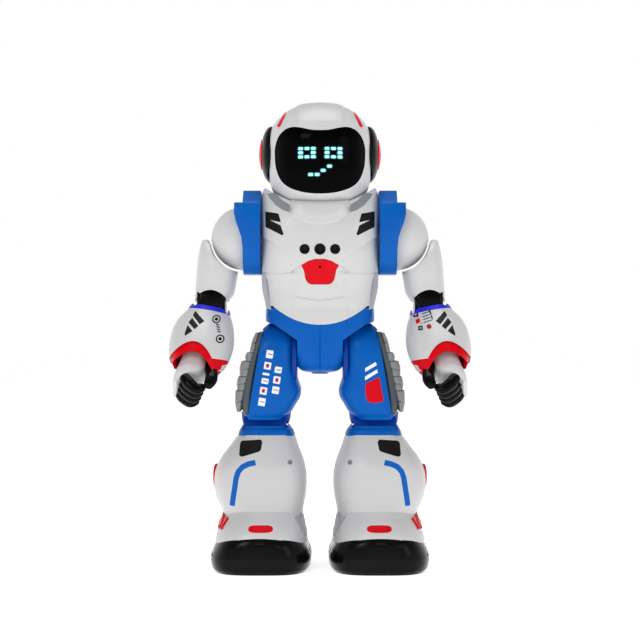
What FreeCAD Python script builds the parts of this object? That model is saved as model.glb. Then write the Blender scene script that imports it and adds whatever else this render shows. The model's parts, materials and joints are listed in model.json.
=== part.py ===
"""Walking humanoid toy robot, 270 mm tall, as separate mouldings, lenses, gears and axles.

Millimetres. +Z is up, the robot faces -Y, and its own left is +X. The origin is on the floor
between the feet. Everything is drawn for the robot's left side and mirrored to its right.
"""
import FreeCAD
import Part
import math
import os
from FreeCAD import Vector

os.makedirs("parts", exist_ok=True)

# ---------------------------------------------------------------- driving dimensions
WALL = 2.2                      # wall of every moulded casing
GAP = 0.5                       # clearance between casings that move past each other
RUNNING = 0.06                  # radial clearance of a shaft in its bore

HEAD_TOP_Z = 270.0
HEAD_BOTTOM_Z = 205.0
HEAD_SPLIT_Y = 6.0
NECK_Y = 0.0
NECK_SHAFT_R = 6.0
EAR_Z = 240.0
EAR_DISC_R = 16.2
EAR_CAP_R = 9.1
EAR_OUTER_X = 36.3

CHEST_BOTTOM_Z = 149.0
SENSOR_Z = 183.6
SENSOR_PITCH = 8.6
SENSOR_R = 2.9
BADGE_TOP_Z = 178.5
BADGE_BOTTOM_Z = 163.2

SHOULDER_Z = 194.0
SHOULDER_SHAFT_R = 5.0
YOKE_R = 24.5
YOKE_INNER_X = 34.9
HOOD_R = 20.0                   # about the ball, not the swing axis
BALL_X = 44.8
BALL_Z = 190.7
BALL_R = 18.7
BALL_SEAT_X = 40.0              # flat back of the ball, screwed to the yoke
SPREAD_PIN_R = 2.0
TONGUE_Y = 8.0                  # thickness of the sleeve's tongue inside the ball
TONGUE_REACH = 26.0
TONGUE_SLOPE_DEG = 60.0

ELBOW_X = 63.2
ELBOW_Z = 153.2
ELBOW_PIN_R = 2.0
ELBOW_BARREL_R = 8.5
ELBOW_SWEEP_R = 15.0            # the gauntlet's rim passes inside this radius
FOREARM_FORWARD_DEG = 36.0
FOREARM_OUTWARD_DEG = 10.0
CUFF_LOW_Z = -47.0              # along the forearm, from the elbow

HIP_Z = 122.0
HIP_AXLE_R = 2.5
HIP_DOME_R = 19.5
THIGH_INNER_X = 13.8
PELVIS_BLOCK_X = 13.1
BELT_Z = CHEST_BOTTOM_Z

KNEE_Z = 80.0
KNEE_NECK_R = 10.5
KNEE_PIN_R = 2.0
KNEE_IN_X = 21.0
KNEE_OUT_X = 42.6

BOOT_TOP_Z = 77.0
ANKLE_Z = 31.0
SOLE_TOP_Z = 17.4
FOOT_X = 34.0
SOLE_HALF_Y = 49.0
ROLLER_R = 4.0
ROLLER_Y = 24.0
ROLLER_OFFSET_X = 16.0
ROLLER_AXLE_R = 1.2

GEAR_MODULE = 0.6
CRANK_TEETH = 36
PINION_TEETH = 9
CRANK_Z = 148.0
CRANK_THROW = 6.0
CRANK_SHAFT_R = 1.5
PINION_SHAFT_R = 1.0
MOTOR_R = 6.0

ORIGIN = Vector(0, 0, 0)
X_AXIS = Vector(1, 0, 0)
Y_AXIS = Vector(0, 1, 0)
Z_AXIS = Vector(0, 0, 1)


# ---------------------------------------------------------------- geometry helpers
def section(z, x_low, x_high, y_front, y_back, power=2.6, count=20):
    """Closed smooth wire at height z: a superellipse filling the given box."""
    centre_x, half_x = (x_low + x_high) / 2, (x_high - x_low) / 2
    centre_y, half_y = (y_front + y_back) / 2, (y_back - y_front) / 2
    points = []
    for i in range(count):
        angle = 2 * math.pi * i / count
        c, s = math.cos(angle), math.sin(angle)
        x = math.copysign(abs(c) ** (2 / power), c)
        y = math.copysign(abs(s) ** (2 / power), s)
        points.append(Vector(centre_x + half_x * x, centre_y + half_y * y, z))
    curve = Part.BSplineCurve()
    curve.interpolate(Points=points, PeriodicFlag=True)
    return Part.Wire([curve.toShape()])


def lofted(rows, inset=0.0, power=2.6):
    """Solid through rows of (z, x_low, x_high, y_front, y_back), drawn in by inset at the sides."""
    wires = []
    for z, x_low, x_high, y_front, y_back in rows:
        wires.append(section(z, x_low + inset, x_high - inset, y_front + inset, y_back - inset, power))
    return Part.makeLoft(wires, True, False)


def box(x_low, x_high, y_low, y_high, z_low, z_high):
    return Part.makeBox(x_high - x_low, y_high - y_low, z_high - z_low, Vector(x_low, y_low, z_low))


def rod(radius, start, end):
    """Cylinder between two points."""
    a, b = Vector(*start), Vector(*end)
    return Part.makeCylinder(radius, (b - a).Length, a, b - a)


def prism_y(outline, y_low, y_high):
    """Solid swept along Y from an outline of (x, z) points."""
    points = [Vector(x, y_low, z) for x, z in outline]
    face = Part.Face(Part.makePolygon(points + points[:1]))
    return face.extrude(Vector(0, y_high - y_low, 0))


def smooth_prism_y(outline, y_low, y_high):
    """Like prism_y, with one smooth closed curve through the points."""
    curve = Part.BSplineCurve()
    curve.interpolate(Points=[Vector(x, y_low, z) for x, z in outline], PeriodicFlag=True)
    face = Part.Face(Part.Wire([curve.toShape()]))
    return face.extrude(Vector(0, y_high - y_low, 0))


def revolved(profile, base, axis, radial):
    """Solid of revolution: profile is (along, radius) from base, turned about axis."""
    points = [base + axis * along + radial * radius for along, radius in profile]
    face = Part.Face(Part.makePolygon(points + points[:1]))
    return face.revolve(base, axis, 360)


def mirrored(shape):
    return shape.mirror(ORIGIN, X_AXIS)


def both_sides(shape):
    return Part.makeCompound([shape, mirrored(shape)])


def capsule(radius, start, end):
    """Cylinder with round ends, for a finger."""
    body = rod(radius, start, end)
    for point in (start, end):
        body = body.fuse(Part.makeSphere(radius, Vector(*point)))
    return body


def gear(teeth, x_low, x_high, y, z, turn_deg):
    """Spur gear about X with straight-sided teeth."""
    pitch_r = GEAR_MODULE * teeth / 2
    tip_r = pitch_r + 0.85 * GEAR_MODULE
    root_r = pitch_r - 1.15 * GEAR_MODULE
    step = 2 * math.pi / teeth
    points = []
    for i in range(teeth):
        middle = math.radians(turn_deg) + i * step
        for share, radius in ((-0.32, root_r), (-0.12, tip_r), (0.12, tip_r), (0.32, root_r)):
            angle = middle + share * step
            points.append(Vector(x_low, y + radius * math.cos(angle), z + radius * math.sin(angle)))
    face = Part.Face(Part.makePolygon(points + points[:1]))
    return face.extrude(Vector(x_high - x_low, 0, 0))


def save(name, shape):
    shape.exportStep(os.path.join("parts", name + ".step"))


def save_pair(name, left_shape):
    """The same piece for the robot's left and, mirrored, for its right."""
    save("left_" + name, left_shape)
    save("right_" + name, mirrored(left_shape))


def save_turned_pair(name, left_shape):
    """A piece that is the same front and back: the right one is the left one turned half round."""
    save("left_" + name, left_shape)
    right_shape = left_shape.copy()
    right_shape.rotate(ORIGIN, Z_AXIS, 180)
    save("right_" + name, right_shape)


# ---------------------------------------------------------------- head
HEAD_ROWS = [
    (HEAD_BOTTOM_Z, -9, 9, -14, 12),
    (208.0, -16.5, 16.5, -22, 19),
    (213.0, -22.5, 22.5, -28, 25),
    (221.0, -28.3, 28.3, -32, 30),
    (232.0, -30.2, 30.2, -34, 33),
    (245.0, -30.4, 30.4, -34, 34),
    (254.0, -28.8, 28.8, -31, 32.5),
    (261.0, -24.2, 24.2, -25, 28),
    (266.0, -18.0, 18.0, -18, 21),
    (269.0, -10.5, 10.5, -10, 12),
    (HEAD_TOP_Z, -4, 4, -4, 5),
]
HEAD_POWER = 2.3
VISOR_HALF = [
    (5, 251.6), (10, 252.6), (15.5, 253.4), (20.2, 252), (23.6, 248.5), (25.6, 243), (26, 237.5),
    (25.2, 230), (23.2, 224.5), (20.2, 220.8), (15, 217.9), (8, 215.9),
]
VISOR_OUTLINE = [(0, 251.3)] + VISOR_HALF + [(0, 215.3)] + [(-x, z) for x, z in reversed(VISOR_HALF)]
LED_RING = [(-1, -1), (0, -1), (1, -1), (-1, 0), (1, 0), (-1, 1), (0, 1), (1, 1)]
EYE_X = 7.5
EYE_Z = 238.2
LED_PITCH_X = 3.6
LED_PITCH_Z = 2.35
SMILE = [(-5.3, 225.9), (-1.65, 225.9), (1.8, 228.2), (5.4, 230.6)]


def head_inner():
    rows = []
    for z, x_low, x_high, y_front, y_back in HEAD_ROWS[1:-2]:
        rows.append((z + 0.4, x_low, x_high, y_front, y_back))
    return lofted(rows, WALL, HEAD_POWER)


def head_light_tools():
    """Slanted slots above the brow, one each side."""
    outline = [(19.4, 264.2), (21.4, 263.6), (25.2, 256.4), (23.2, 256.0)]
    return both_sides(prism_y(outline, -40, 0))


def ear_disc():
    profile = [(29.2, 0), (29.2, EAR_DISC_R), (31.0, EAR_DISC_R), (33.0, 14.8), (34.4, 12.2),
               (35.0, EAR_CAP_R), (34.0, EAR_CAP_R), (34.0, 0)]
    return revolved(profile, Vector(0, 2, EAR_Z), X_AXIS, Z_AXIS)


def ear_cap():
    profile = [(34.0, 0), (34.0, EAR_CAP_R), (35.2, EAR_CAP_R), (35.9, 7.6), (EAR_OUTER_X, 4.0),
               (EAR_OUTER_X, 0)]
    return revolved(profile, Vector(0, 2, EAR_Z), X_AXIS, Z_AXIS)


def make_head():
    outer = lofted(HEAD_ROWS, 0, HEAD_POWER)
    inner = head_inner()
    shell = outer.cut(inner)
    visor_tool = smooth_prism_y(VISOR_OUTLINE, -45, -12)
    lights = head_light_tools()
    ear_seat = rod(EAR_DISC_R + 0.1, (29.2, 2, EAR_Z), (40, 2, EAR_Z))
    post_hole = rod(NECK_SHAFT_R + 3, (0, NECK_Y, HEAD_BOTTOM_Z - 1), (0, NECK_Y, HEAD_BOTTOM_Z + 6))
    save("visor", outer.common(visor_tool).cut(inner))
    save("head_light_inserts", shell.common(lights))
    shell = shell.cut([visor_tool, lights, ear_seat, mirrored(ear_seat), post_hole])
    front = box(-50, 50, -50, HEAD_SPLIT_Y, 190, 280)
    save("head_front_shell", shell.common(front))
    save("head_rear_shell", shell.cut(front))
    save("ear_discs", both_sides(ear_disc()))
    save("ear_caps", both_sides(ear_cap()))
    save("face_board", box(-21, 21, -20, -18.4, 222, 252))
    save("face_leds", face_leds())
    save("neck_post", neck_post())


def face_leds():
    """Square light-emitting diodes soldered on the face board: two rings for eyes and a smile."""
    pips = []
    for side in (-1, 1):
        for column, row in LED_RING:
            x = side * EYE_X + column * LED_PITCH_X
            z = EYE_Z + row * LED_PITCH_Z
            pips.append(box(x - 1.0, x + 1.0, -21.2, -20, z - 0.8, z + 0.8))
    for x, z in SMILE:
        pips.append(box(x - 1.0, x + 1.0, -21.2, -20, z - 0.8, z + 0.8))
    return Part.makeCompound(pips)


def neck_post():
    """Hollow swivel post: shaft through the collar, flange below it and foot inside the head."""
    profile = [(192.0, 3.5), (192.0, 9.0), (194.0, 9.0), (194.0, NECK_SHAFT_R), (201.5, NECK_SHAFT_R),
               (201.5, NECK_SHAFT_R + 3), (212.0, NECK_SHAFT_R + 3), (212.0, 3.5)]
    return revolved(profile, Vector(0, NECK_Y, 0), Z_AXIS, X_AXIS)


# ---------------------------------------------------------------- torso
TORSO_ROWS = [
    (CHEST_BOTTOM_Z, -31.0, 31.0, -21, 21),
    (154.0, -32.2, 32.2, -23, 22.5),
    (162.0, -33.6, 33.6, -26, 24.5),
    (172.0, -34.4, 34.4, -29.5, 27),
    (184.0, -34.4, 34.4, -31.5, 29),
    (196.0, -34.4, 34.4, -30.5, 29.5),
    (206.0, -34.4, 34.4, -26, 28.5),
    (214.0, -34.2, 34.2, -20, 25),
    (219.0, -32.8, 32.8, -15, 20),
    (222.0, -29.5, 29.5, -10, 14),
]
TORSO_POWER = 3.2
SIDE_TRIM_OUTLINE = [(31.6, 171.0), (40.0, 171.0), (40.0, CHEST_BOTTOM_Z - 1), (28.2, CHEST_BOTTOM_Z - 1)]
BADGE_OUTLINE = [
    (-10.6, 174.8), (-6, 177.4), (0, BADGE_TOP_Z), (6, 177.4), (10.6, 174.8), (8.0, 165.4),
    (4.6, BADGE_BOTTOM_Z), (-4.6, BADGE_BOTTOM_Z), (-8.0, 165.4),
]
DOOR_X = 17.0
DOOR_LOW_Z = 160.0
DOOR_HIGH_Z = 192.0
SCREW_PLACES = [(28.0, 207.0), (25.5, 157.0)]
SCREW_R = 1.2
SCREW_HEAD_R = 2.4
SCREW_SEAT_Y = 15.6
CELL_R = 6.8
CELL_X = 7.2
CELL_Y = 14.0
SWITCH_X = 13.0
SWITCH_Z = 154.5
SWITCH_TRAVEL = 3.0
SOCKET_X = -13.0
SOCKET_R = 1.8
SOCKET_FACE_Y = 21.6


def collar_tool():
    """Bowl that the bottom of the head turns in."""
    profile = [(198.6, 0), (198.6, 11.0), (201.0, 17.2), (206.0, 23.5), (212.0, 28.6), (219.0, 33.0),
               (230.0, 36.0), (230.0, 0)]
    return revolved(profile, Vector(0, NECK_Y, 0), Z_AXIS, X_AXIS)


def screw(x, z):
    """Self-tapping case screw, driven in from the back."""
    head = rod(SCREW_HEAD_R, (x, SCREW_SEAT_Y, z), (x, SCREW_SEAT_Y + 2, z))
    return head.fuse(rod(SCREW_R, (x, -5.0, z), (x, SCREW_SEAT_Y, z)))


def make_torso():
    outer = lofted(TORSO_ROWS, 0, TORSO_POWER)
    collar = collar_tool()
    inner = lofted([(z - 0.6, a, b, c, d) for z, a, b, c, d in TORSO_ROWS[:-2]], WALL, TORSO_POWER)
    collar_skin = collar.translated(Vector(0, 0, -WALL))
    inner = inner.cut(collar_skin)
    shell = outer.cut([collar, inner])
    shoulder_bore = rod(SHOULDER_SHAFT_R + RUNNING, (-40, 0, SHOULDER_Z), (40, 0, SHOULDER_Z))
    neck_bore = rod(NECK_SHAFT_R + RUNNING, (0, NECK_Y, 180), (0, NECK_Y, 205))
    shell = shell.cut([shoulder_bore, neck_bore])

    trim_tool = both_sides(prism_y(SIDE_TRIM_OUTLINE, -30, 30))
    save("side_trims", shell.common(trim_tool))
    badge_tool = prism_y(BADGE_OUTLINE, -40, -20)
    save("chest_badge", shell.common(badge_tool))
    sensors = [rod(SENSOR_R, (i * SENSOR_PITCH, -40, SENSOR_Z), (i * SENSOR_PITCH, -20, SENSOR_Z))
               for i in (-1, 0, 1)]
    save("sensor_lenses", Part.makeCompound([outer.common(tool).cut(inner) for tool in sensors]))

    shell = shell.cut([trim_tool, badge_tool] + sensors)
    front_half = box(-50, 50, -50, 0, 140, 240)
    chest = shell.common(front_half)
    back = shell.cut(front_half)
    for sign in (-1, 1):
        for x, z in SCREW_PLACES:
            chest = chest.fuse(rod(3.2, (sign * x, -40, z), (sign * x, 0, z)).common(outer))
            boss = rod(3.8, (sign * x, 0, z), (sign * x, 40, z)).common(outer)
            back = back.fuse(boss)
    bores = []
    for sign in (-1, 1):
        for x, z in SCREW_PLACES:
            bores.append(rod(SCREW_R + 0.05, (sign * x, -5.2, z), (sign * x, 20, z)))
            bores.append(rod(SCREW_HEAD_R + 0.15, (sign * x, SCREW_SEAT_Y - 0.1, z), (sign * x, 40, z)))
    door_tool = box(-DOOR_X, DOOR_X, 18, 40, DOOR_LOW_Z, DOOR_HIGH_Z)
    switch_slot = box(SWITCH_X - 3.2, SWITCH_X + 3.2 + SWITCH_TRAVEL, 14, 40, SWITCH_Z - 1.6, SWITCH_Z + 1.6)
    socket_tool = box(SOCKET_X - 4, SOCKET_X + 4, 10, 40, SWITCH_Z - 3, SWITCH_Z + 3)
    save("battery_door", back.common(door_tool))
    back = back.cut(bores + [door_tool, switch_slot, socket_tool])
    save("chest_cover", chest.cut(bores).fuse(belly_apron()))
    save("back_cover", back)
    save("case_screws", Part.makeCompound([screw(sign * x, z) for sign in (-1, 1) for x, z in SCREW_PLACES]))
    make_torso_contents()


def make_torso_contents():
    cells = [rod(CELL_R, (x, CELL_Y, DOOR_LOW_Z + 1), (x, CELL_Y, DOOR_HIGH_Z - 1)) for x in (-CELL_X, CELL_X)]
    sleeve = box(-14.6, 14.6, 6.8, 21.2, DOOR_LOW_Z + 2, DOOR_HIGH_Z - 2)
    save("battery_pack", sleeve.fuse(cells))
    save("circuit_board", box(-23, 23, 2.0, 3.6, 172, 190))
    cone = revolved([(-16.0, 0), (-16.0, 13.0), (-14.5, 13.0), (-8.0, 7.5), (-4.0, 7.5), (-4.0, 0)],
                    Vector(0, 0, 180), Y_AXIS, Z_AXIS)
    save("speaker", cone)
    socket = box(SOCKET_X - 4, SOCKET_X + 4, 12, SOCKET_FACE_Y, SWITCH_Z - 3, SWITCH_Z + 3)
    socket = socket.cut(rod(SOCKET_R, (SOCKET_X, 13, SWITCH_Z), (SOCKET_X, 30, SWITCH_Z)))
    save("charge_socket", socket)
    knob = box(SWITCH_X - 3, SWITCH_X + 3, 17.4, 23.0, SWITCH_Z - 1.4, SWITCH_Z + 1.4)
    slider = box(SWITCH_X - 4.5, SWITCH_X + 4.5, 16.0, 18.0, SWITCH_Z - 1.4, SWITCH_Z + 1.4)
    save("power_switch", knob.fuse(slider))


# ---------------------------------------------------------------- pelvis and gearbox
PELVIS_ROWS = [
    (112.6, -10.0, 10.0, -11, 11),
    (116.0, -15.0, 15.0, -17, 16),
    (124.0, -15.6, 15.6, -21.5, 20),
    (132.0, -21.0, 21.0, -23.2, 22),
    (140.0, -29.0, 29.0, -23.4, 22.8),
    (145.0, -31.2, 31.2, -23.0, 22.8),
    (BELT_Z, -31.6, 31.6, -22.4, 22.4),
]
PELVIS_POWER = 3.4
APRON_BACK_Y = -20.6
APRON_OUTLINE = [
    (-28.6, 151.0), (-26.4, 148.2), (-17.4, 144.2), (-9.0, 141.2), (0, 140.0),
    (9.0, 141.2), (17.4, 144.2), (26.4, 148.2), (28.6, 151.0),
]


def belly_apron():
    """Lower edge of the chest cover, which hangs in an arc over the front of the pelvis."""
    apron = lofted(PELVIS_ROWS, 0, PELVIS_POWER)
    return apron.common(prism_y(APRON_OUTLINE, -40, APRON_BACK_Y))


def thigh_room():
    """Space that a swinging thigh needs inside the pelvis, left side."""
    dome = rod(HIP_DOME_R + GAP, (PELVIS_BLOCK_X, 0, HIP_Z), (60, 0, HIP_Z))
    below = box(PELVIS_BLOCK_X, 60, -HIP_DOME_R - GAP, HIP_DOME_R + GAP, 80, HIP_Z)
    slope = [(PELVIS_BLOCK_X, 131.6), (27.4, 140.2), (36, 143.0), (60, 143.0), (60, 80), (PELVIS_BLOCK_X, 80)]
    return dome.fuse([below, prism_y(slope, -60, 60)])


def make_pelvis():
    outer = lofted(PELVIS_ROWS, 0, PELVIS_POWER)
    well = box(-11.2, 11.2, -14.0, 13.6, 115.6, 155)
    well = well.fuse(box(-28.6, 28.6, -18.6, 19.2, 144.4, 155))
    room = thigh_room()
    axle_bore = rod(HIP_AXLE_R, (-40, 0, HIP_Z), (40, 0, HIP_Z))
    apron_tool = prism_y(APRON_OUTLINE, -40, APRON_BACK_Y)
    shell = outer.cut([well, room, mirrored(room), axle_bore, apron_tool])
    front_half = box(-50, 50, -50, 0, 100, 160)
    save("pelvis_front_shell", shell.common(front_half))
    save("pelvis_rear_shell", shell.cut(front_half))
    save("hip_axle", rod(HIP_AXLE_R, (-31.5, 0, HIP_Z), (31.5, 0, HIP_Z)))
    make_gearbox()


def make_gearbox():
    centre_distance = GEAR_MODULE * (CRANK_TEETH + PINION_TEETH) / 2
    pinion_z = CRANK_Z + centre_distance
    plate = box(7.0, 8.6, -9, 5, 116, 169)
    frame = plate.fuse([mirrored(plate), box(-8.6, 8.6, -9, 5, 116, 117.6)])
    frame = frame.cut([
        rod(CRANK_SHAFT_R + RUNNING, (-20, 0, CRANK_Z), (20, 0, CRANK_Z)),
        rod(HIP_AXLE_R, (-20, 0, HIP_Z), (20, 0, HIP_Z)),
        rod(MOTOR_R, (5, 0, pinion_z), (20, 0, pinion_z)),
        rod(PINION_SHAFT_R + RUNNING, (-20, 0, pinion_z), (5, 0, pinion_z)),
    ])
    save("gearbox_frame", frame)
    motor = rod(MOTOR_R, (4.0, 0, pinion_z), (20.0, 0, pinion_z))
    motor = motor.fuse(rod(2.6, (20.0, 0, pinion_z), (21.4, 0, pinion_z)))
    save("drive_motor", motor.cut(rod(PINION_SHAFT_R + RUNNING, (3, 0, pinion_z), (14, 0, pinion_z))))
    pinion = gear(PINION_TEETH, -2.6, 2.6, 0, pinion_z, -90 + 180 / PINION_TEETH)
    pinion = pinion.fuse(rod(PINION_SHAFT_R, (-10, 0, pinion_z), (13, 0, pinion_z)))
    save("motor_pinion", pinion)
    crank = gear(CRANK_TEETH, -2.0, 2.0, 0, CRANK_Z, 90)
    axle = rod(CRANK_SHAFT_R, (-10, 0, CRANK_Z), (10, 0, CRANK_Z))
    pins = [rod(CRANK_SHAFT_R, (1.9, CRANK_THROW, CRANK_Z), (6.0, CRANK_THROW, CRANK_Z)),
            rod(CRANK_SHAFT_R, (-6.0, -CRANK_THROW, CRANK_Z), (-1.9, -CRANK_THROW, CRANK_Z))]
    save("crank_gear", crank.fuse([axle] + pins))


# ---------------------------------------------------------------- arms
def shoulder_yoke():
    """Round swinging cover with a shaft into the torso and a hood over the ball."""
    profile = [(YOKE_INNER_X, 0), (YOKE_INNER_X, YOKE_R - 1.6), (YOKE_INNER_X + 1.6, YOKE_R), (43.0, YOKE_R),
               (44.9, YOKE_R - 1.4), (44.9, 0)]
    disc = revolved(profile, Vector(0, 0, SHOULDER_Z), X_AXIS, Z_AXIS)
    hood_rows = [(36, 0), (36, HOOD_R), (48.5, HOOD_R), (49.7, HOOD_R - 1.2), (49.7, 0)]
    hood = revolved(hood_rows, Vector(0, 0, BALL_Z), X_AXIS, Z_AXIS)
    hood_room = prism_y([(44.9, 160), (60, 160), (60, 206), (49.4, 203.5), (48.2, 200), (46.2, 194.5),
                         (44.9, 187)], -40, 40)
    ball_seat = Part.makeSphere(BALL_R, Vector(BALL_X, 0, BALL_Z))
    ball_seat = ball_seat.common(box(BALL_SEAT_X, 70, -30, 30, 160, 220))
    shaft = rod(SHOULDER_SHAFT_R, (26.5, 0, SHOULDER_Z), (YOKE_INNER_X + 2, 0, SHOULDER_Z))
    flange = rod(SHOULDER_SHAFT_R + 2.5, (26.5, 0, SHOULDER_Z), (29.5, 0, SHOULDER_Z))
    return disc.fuse(hood.cut(hood_room)).cut(ball_seat).fuse([shaft, flange])


def tongue_slot():
    """Slot in the ball for the sleeve's tongue, from straight out to straight down."""
    half = TONGUE_Y / 2 + 0.4
    slot = box(BALL_X + 1.2, 70, -half, half, 160, BALL_Z - 1.6)
    return slot.fuse(rod(5.4, (BALL_X, -half, BALL_Z), (BALL_X, half, BALL_Z)))


def shoulder_ball():
    half_space = box(BALL_SEAT_X, 70, -30, 30, 160, 220)
    ball = Part.makeSphere(BALL_R - 0.05, Vector(BALL_X, 0, BALL_Z)).common(half_space)
    hollow = Part.makeSphere(BALL_R - 3.0, Vector(BALL_X, 0, BALL_Z))
    pin = rod(SPREAD_PIN_R, (BALL_X, -BALL_R + 1.0, BALL_Z), (BALL_X, BALL_R - 1.0, BALL_Z))
    return ball.cut([hollow, tongue_slot()]).fuse(pin)


SLEEVE_ROWS = [
    (154.6, 53.0, 71.6, -11.0, 11.5),
    (160.0, 50.6, 72.6, -13.0, 13.5),
    (168.0, 48.6, 72.6, -14.2, 14.6),
    (178.0, 48.6, 72.2, -14.4, 14.6),
    (186.0, 52.0, 70.6, -12.0, 12.0),
    (191.5, 60.0, 67.6, -5.5, 5.5),
]


def arm_sleeve():
    outer = lofted(SLEEVE_ROWS, 0, 2.5)
    inner = lofted([(z, a, b, c, d) for z, a, b, c, d in SLEEVE_ROWS[:4]], WALL, 2.5)
    inner = inner.cut(box(40, 80, -20, 20, 150, 158))
    ball_room = Part.makeSphere(BALL_R + GAP, Vector(BALL_X, 0, BALL_Z))
    elbow_room = rod(ELBOW_SWEEP_R, (40, 0, ELBOW_Z), (90, 0, ELBOW_Z))
    bar = box(0, TONGUE_REACH, -TONGUE_Y / 2, TONGUE_Y / 2, -4.2, 4.2)
    bar.rotate(ORIGIN, Y_AXIS, TONGUE_SLOPE_DEG)
    bar.translate(Vector(BALL_X, 0, BALL_Z))
    tongue = bar.fuse(rod(4.8, (BALL_X, -TONGUE_Y / 2, BALL_Z), (BALL_X, TONGUE_Y / 2, BALL_Z)))
    pin_bore = rod(SPREAD_PIN_R + RUNNING, (BALL_X, -10, BALL_Z), (BALL_X, 10, BALL_Z))
    web = box(50, 71, -TONGUE_Y / 2, TONGUE_Y / 2, 166, 172).common(outer)
    shell = outer.cut([inner, ball_room, elbow_room])
    return shell.fuse([tongue, web]).cut(pin_bore)


def elbow_block():
    """Hinge block that hangs from the sleeve and carries the forearm."""
    barrel = rod(ELBOW_BARREL_R, (ELBOW_X - 6.5, 0, ELBOW_Z), (ELBOW_X + 6.5, 0, ELBOW_Z))
    stem = box(ELBOW_X - 6.5, ELBOW_X + 6.5, -5.5, 5.5, ELBOW_Z, 165.8)
    return barrel.fuse(stem).cut(rod(ELBOW_PIN_R + RUNNING, (40, 0, ELBOW_Z), (90, 0, ELBOW_Z)))


def place_forearm(shape):
    """From the forearm's own frame, elbow at the origin and axis down, to the robot's."""
    shape.rotate(ORIGIN, X_AXIS, -FOREARM_FORWARD_DEG)
    shape.rotate(ORIGIN, Y_AXIS, -FOREARM_OUTWARD_DEG)
    shape.translate(Vector(ELBOW_X, 0, ELBOW_Z))
    return shape


GAUNTLET_ROWS = [
    (-41.0, -16.6, 17.2, -16.0, 16.6),
    (-36.0, -18.0, 18.6, -17.2, 17.8),
    (-28.0, -18.2, 18.6, -17.4, 17.6),
    (-20.0, -16.6, 17.2, -15.8, 16.0),
    (-12.0, -12.8, 13.6, -12.8, 12.8),
    (-7.0, -10.2, 10.8, -10.6, 10.6),
]


def gauntlet():
    rows = GAUNTLET_ROWS
    outer = lofted(rows, 0, 2.2)
    inner = lofted([(rows[0][0] - 1,) + rows[0][1:]] + rows[1:-1] + [(-6.0,) + rows[-1][1:]], WALL, 2.2)
    shell = outer.cut(inner)
    core = rod(4.5, (0, 0, -42), (0, 0, -14))
    bridge = box(-9.2, 9.2, -4.5, 4.5, -17, -11)
    cheek = box(7.0, 9.2, -4.5, 4.5, -14, 0).fuse(rod(4.5, (7.0, 0, 0), (9.2, 0, 0)))
    pin = rod(ELBOW_PIN_R, (-8, 0, 0), (8, 0, 0))
    inside = place_forearm(core.fuse(bridge))
    # The cheeks and the pin stay square to the elbow's own axis.
    upright = cheek.fuse([mirrored(cheek), pin])
    upright.rotate(ORIGIN, X_AXIS, -FOREARM_FORWARD_DEG)
    upright.translate(Vector(ELBOW_X, 0, ELBOW_Z))
    ring = outer.common(box(-30, 30, -30, 30, -43, -38.5)).cut(rod(4.4, (0, 0, -60), (0, 0, 0)))
    ring = place_forearm(ring.common(box(-30, 30, -2.5, 2.5, -43, -38)))
    room = rod(ELBOW_BARREL_R + 0.6, (ELBOW_X - 6.9, 0, ELBOW_Z), (ELBOW_X + 6.9, 0, ELBOW_Z))
    return place_forearm(shell).fuse([inside, upright, ring]).cut(room.cut(pin_slug()))


def pin_slug():
    return rod(ELBOW_PIN_R, (ELBOW_X - 8, 0, ELBOW_Z), (ELBOW_X + 8, 0, ELBOW_Z))


CUFF_ROWS = [
    (CUFF_LOW_Z, -15.2, 15.8, -14.4, 15.0),
    (-44.5, -17.2, 17.8, -16.6, 17.2),
    (-41.0, -17.4, 18.0, -16.8, 17.4),
]


def cuff_ring():
    outer = lofted(CUFF_ROWS, 0, 2.2)
    rows = [(CUFF_LOW_Z - 1,) + CUFF_ROWS[0][1:], CUFF_ROWS[1], (-40.0,) + CUFF_ROWS[2][1:]]
    return place_forearm(outer.cut(lofted(rows, 3.4, 2.2)))


PALM_ROWS = [
    (-63.0, 6.6, 10.0, -8.5, 8.5),
    (-58.0, 1.0, 10.2, -10.5, 10.5),
    (-54.5, -5.4, 9.6, -11.0, 10.8),
    (-49.0, -6.6, 8.4, -9.5, 9.5),
    (-43.5, -6.0, 6.8, -8.0, 7.5),
]
FINGER_R = 2.9
FINGER_PITCH = 5.0
FINGER_HALF_THICK = 2.4


def palm():
    return place_forearm(lofted(PALM_ROWS, 0, 2.6))


def fingers():
    """Four curled fingers side by side across the fist, and the thumb over the first of them."""
    pieces = []
    for i in range(4):
        y = (i - 1.5) * FINGER_PITCH
        slab = box(-20, 20, y - FINGER_HALF_THICK, y + FINGER_HALF_THICK, -80, -40)
        pieces.append(capsule(FINGER_R, (5.0, y, -59.4), (-3.0, y, -64.6)).common(slab))
    pieces.append(capsule(2.8, (-8.6, -6.6, -52.0), (-7.6, -9.4, -61.0)))
    return place_forearm(Part.makeCompound(pieces))


def make_arms():
    save_turned_pair("shoulder_yoke", shoulder_yoke())
    save_turned_pair("shoulder_ball", shoulder_ball())
    save_pair("arm_sleeve", arm_sleeve())
    save_pair("elbow_block", elbow_block())
    save_pair("gauntlet", gauntlet())
    save_pair("cuff_ring", cuff_ring())
    hand = palm()
    digits = fingers()
    save_pair("palm", hand.cut(digits))
    save_pair("fingers", digits)


# ---------------------------------------------------------------- legs
THIGH_ROWS = [
    (86.0, 19.8, 44.4, -15.5, 15.5),
    (92.0, 15.0, 48.0, -18.0, 17.5),
    (99.0, 11.2, 49.1, -19.2, 18.5),
    (103.0, 11.0, 48.8, -19.4, 19.0),
    (111.0, 13.2, 47.3, -19.4, 19.4),
    (118.0, 13.9, 45.8, -19.4, 19.4),
    (126.0, 13.9, 42.6, -19.4, 19.4),
    (134.0, 13.9, 37.4, -19.4, 19.4),
    (142.0, 13.9, 32.2, -19.4, 19.4),
]
PAD_PLANE = [(32.6, 143), (33.0, 136.4), (41.2, 92.0), (42.2, 85), (70, 85), (70, 143)]


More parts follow.
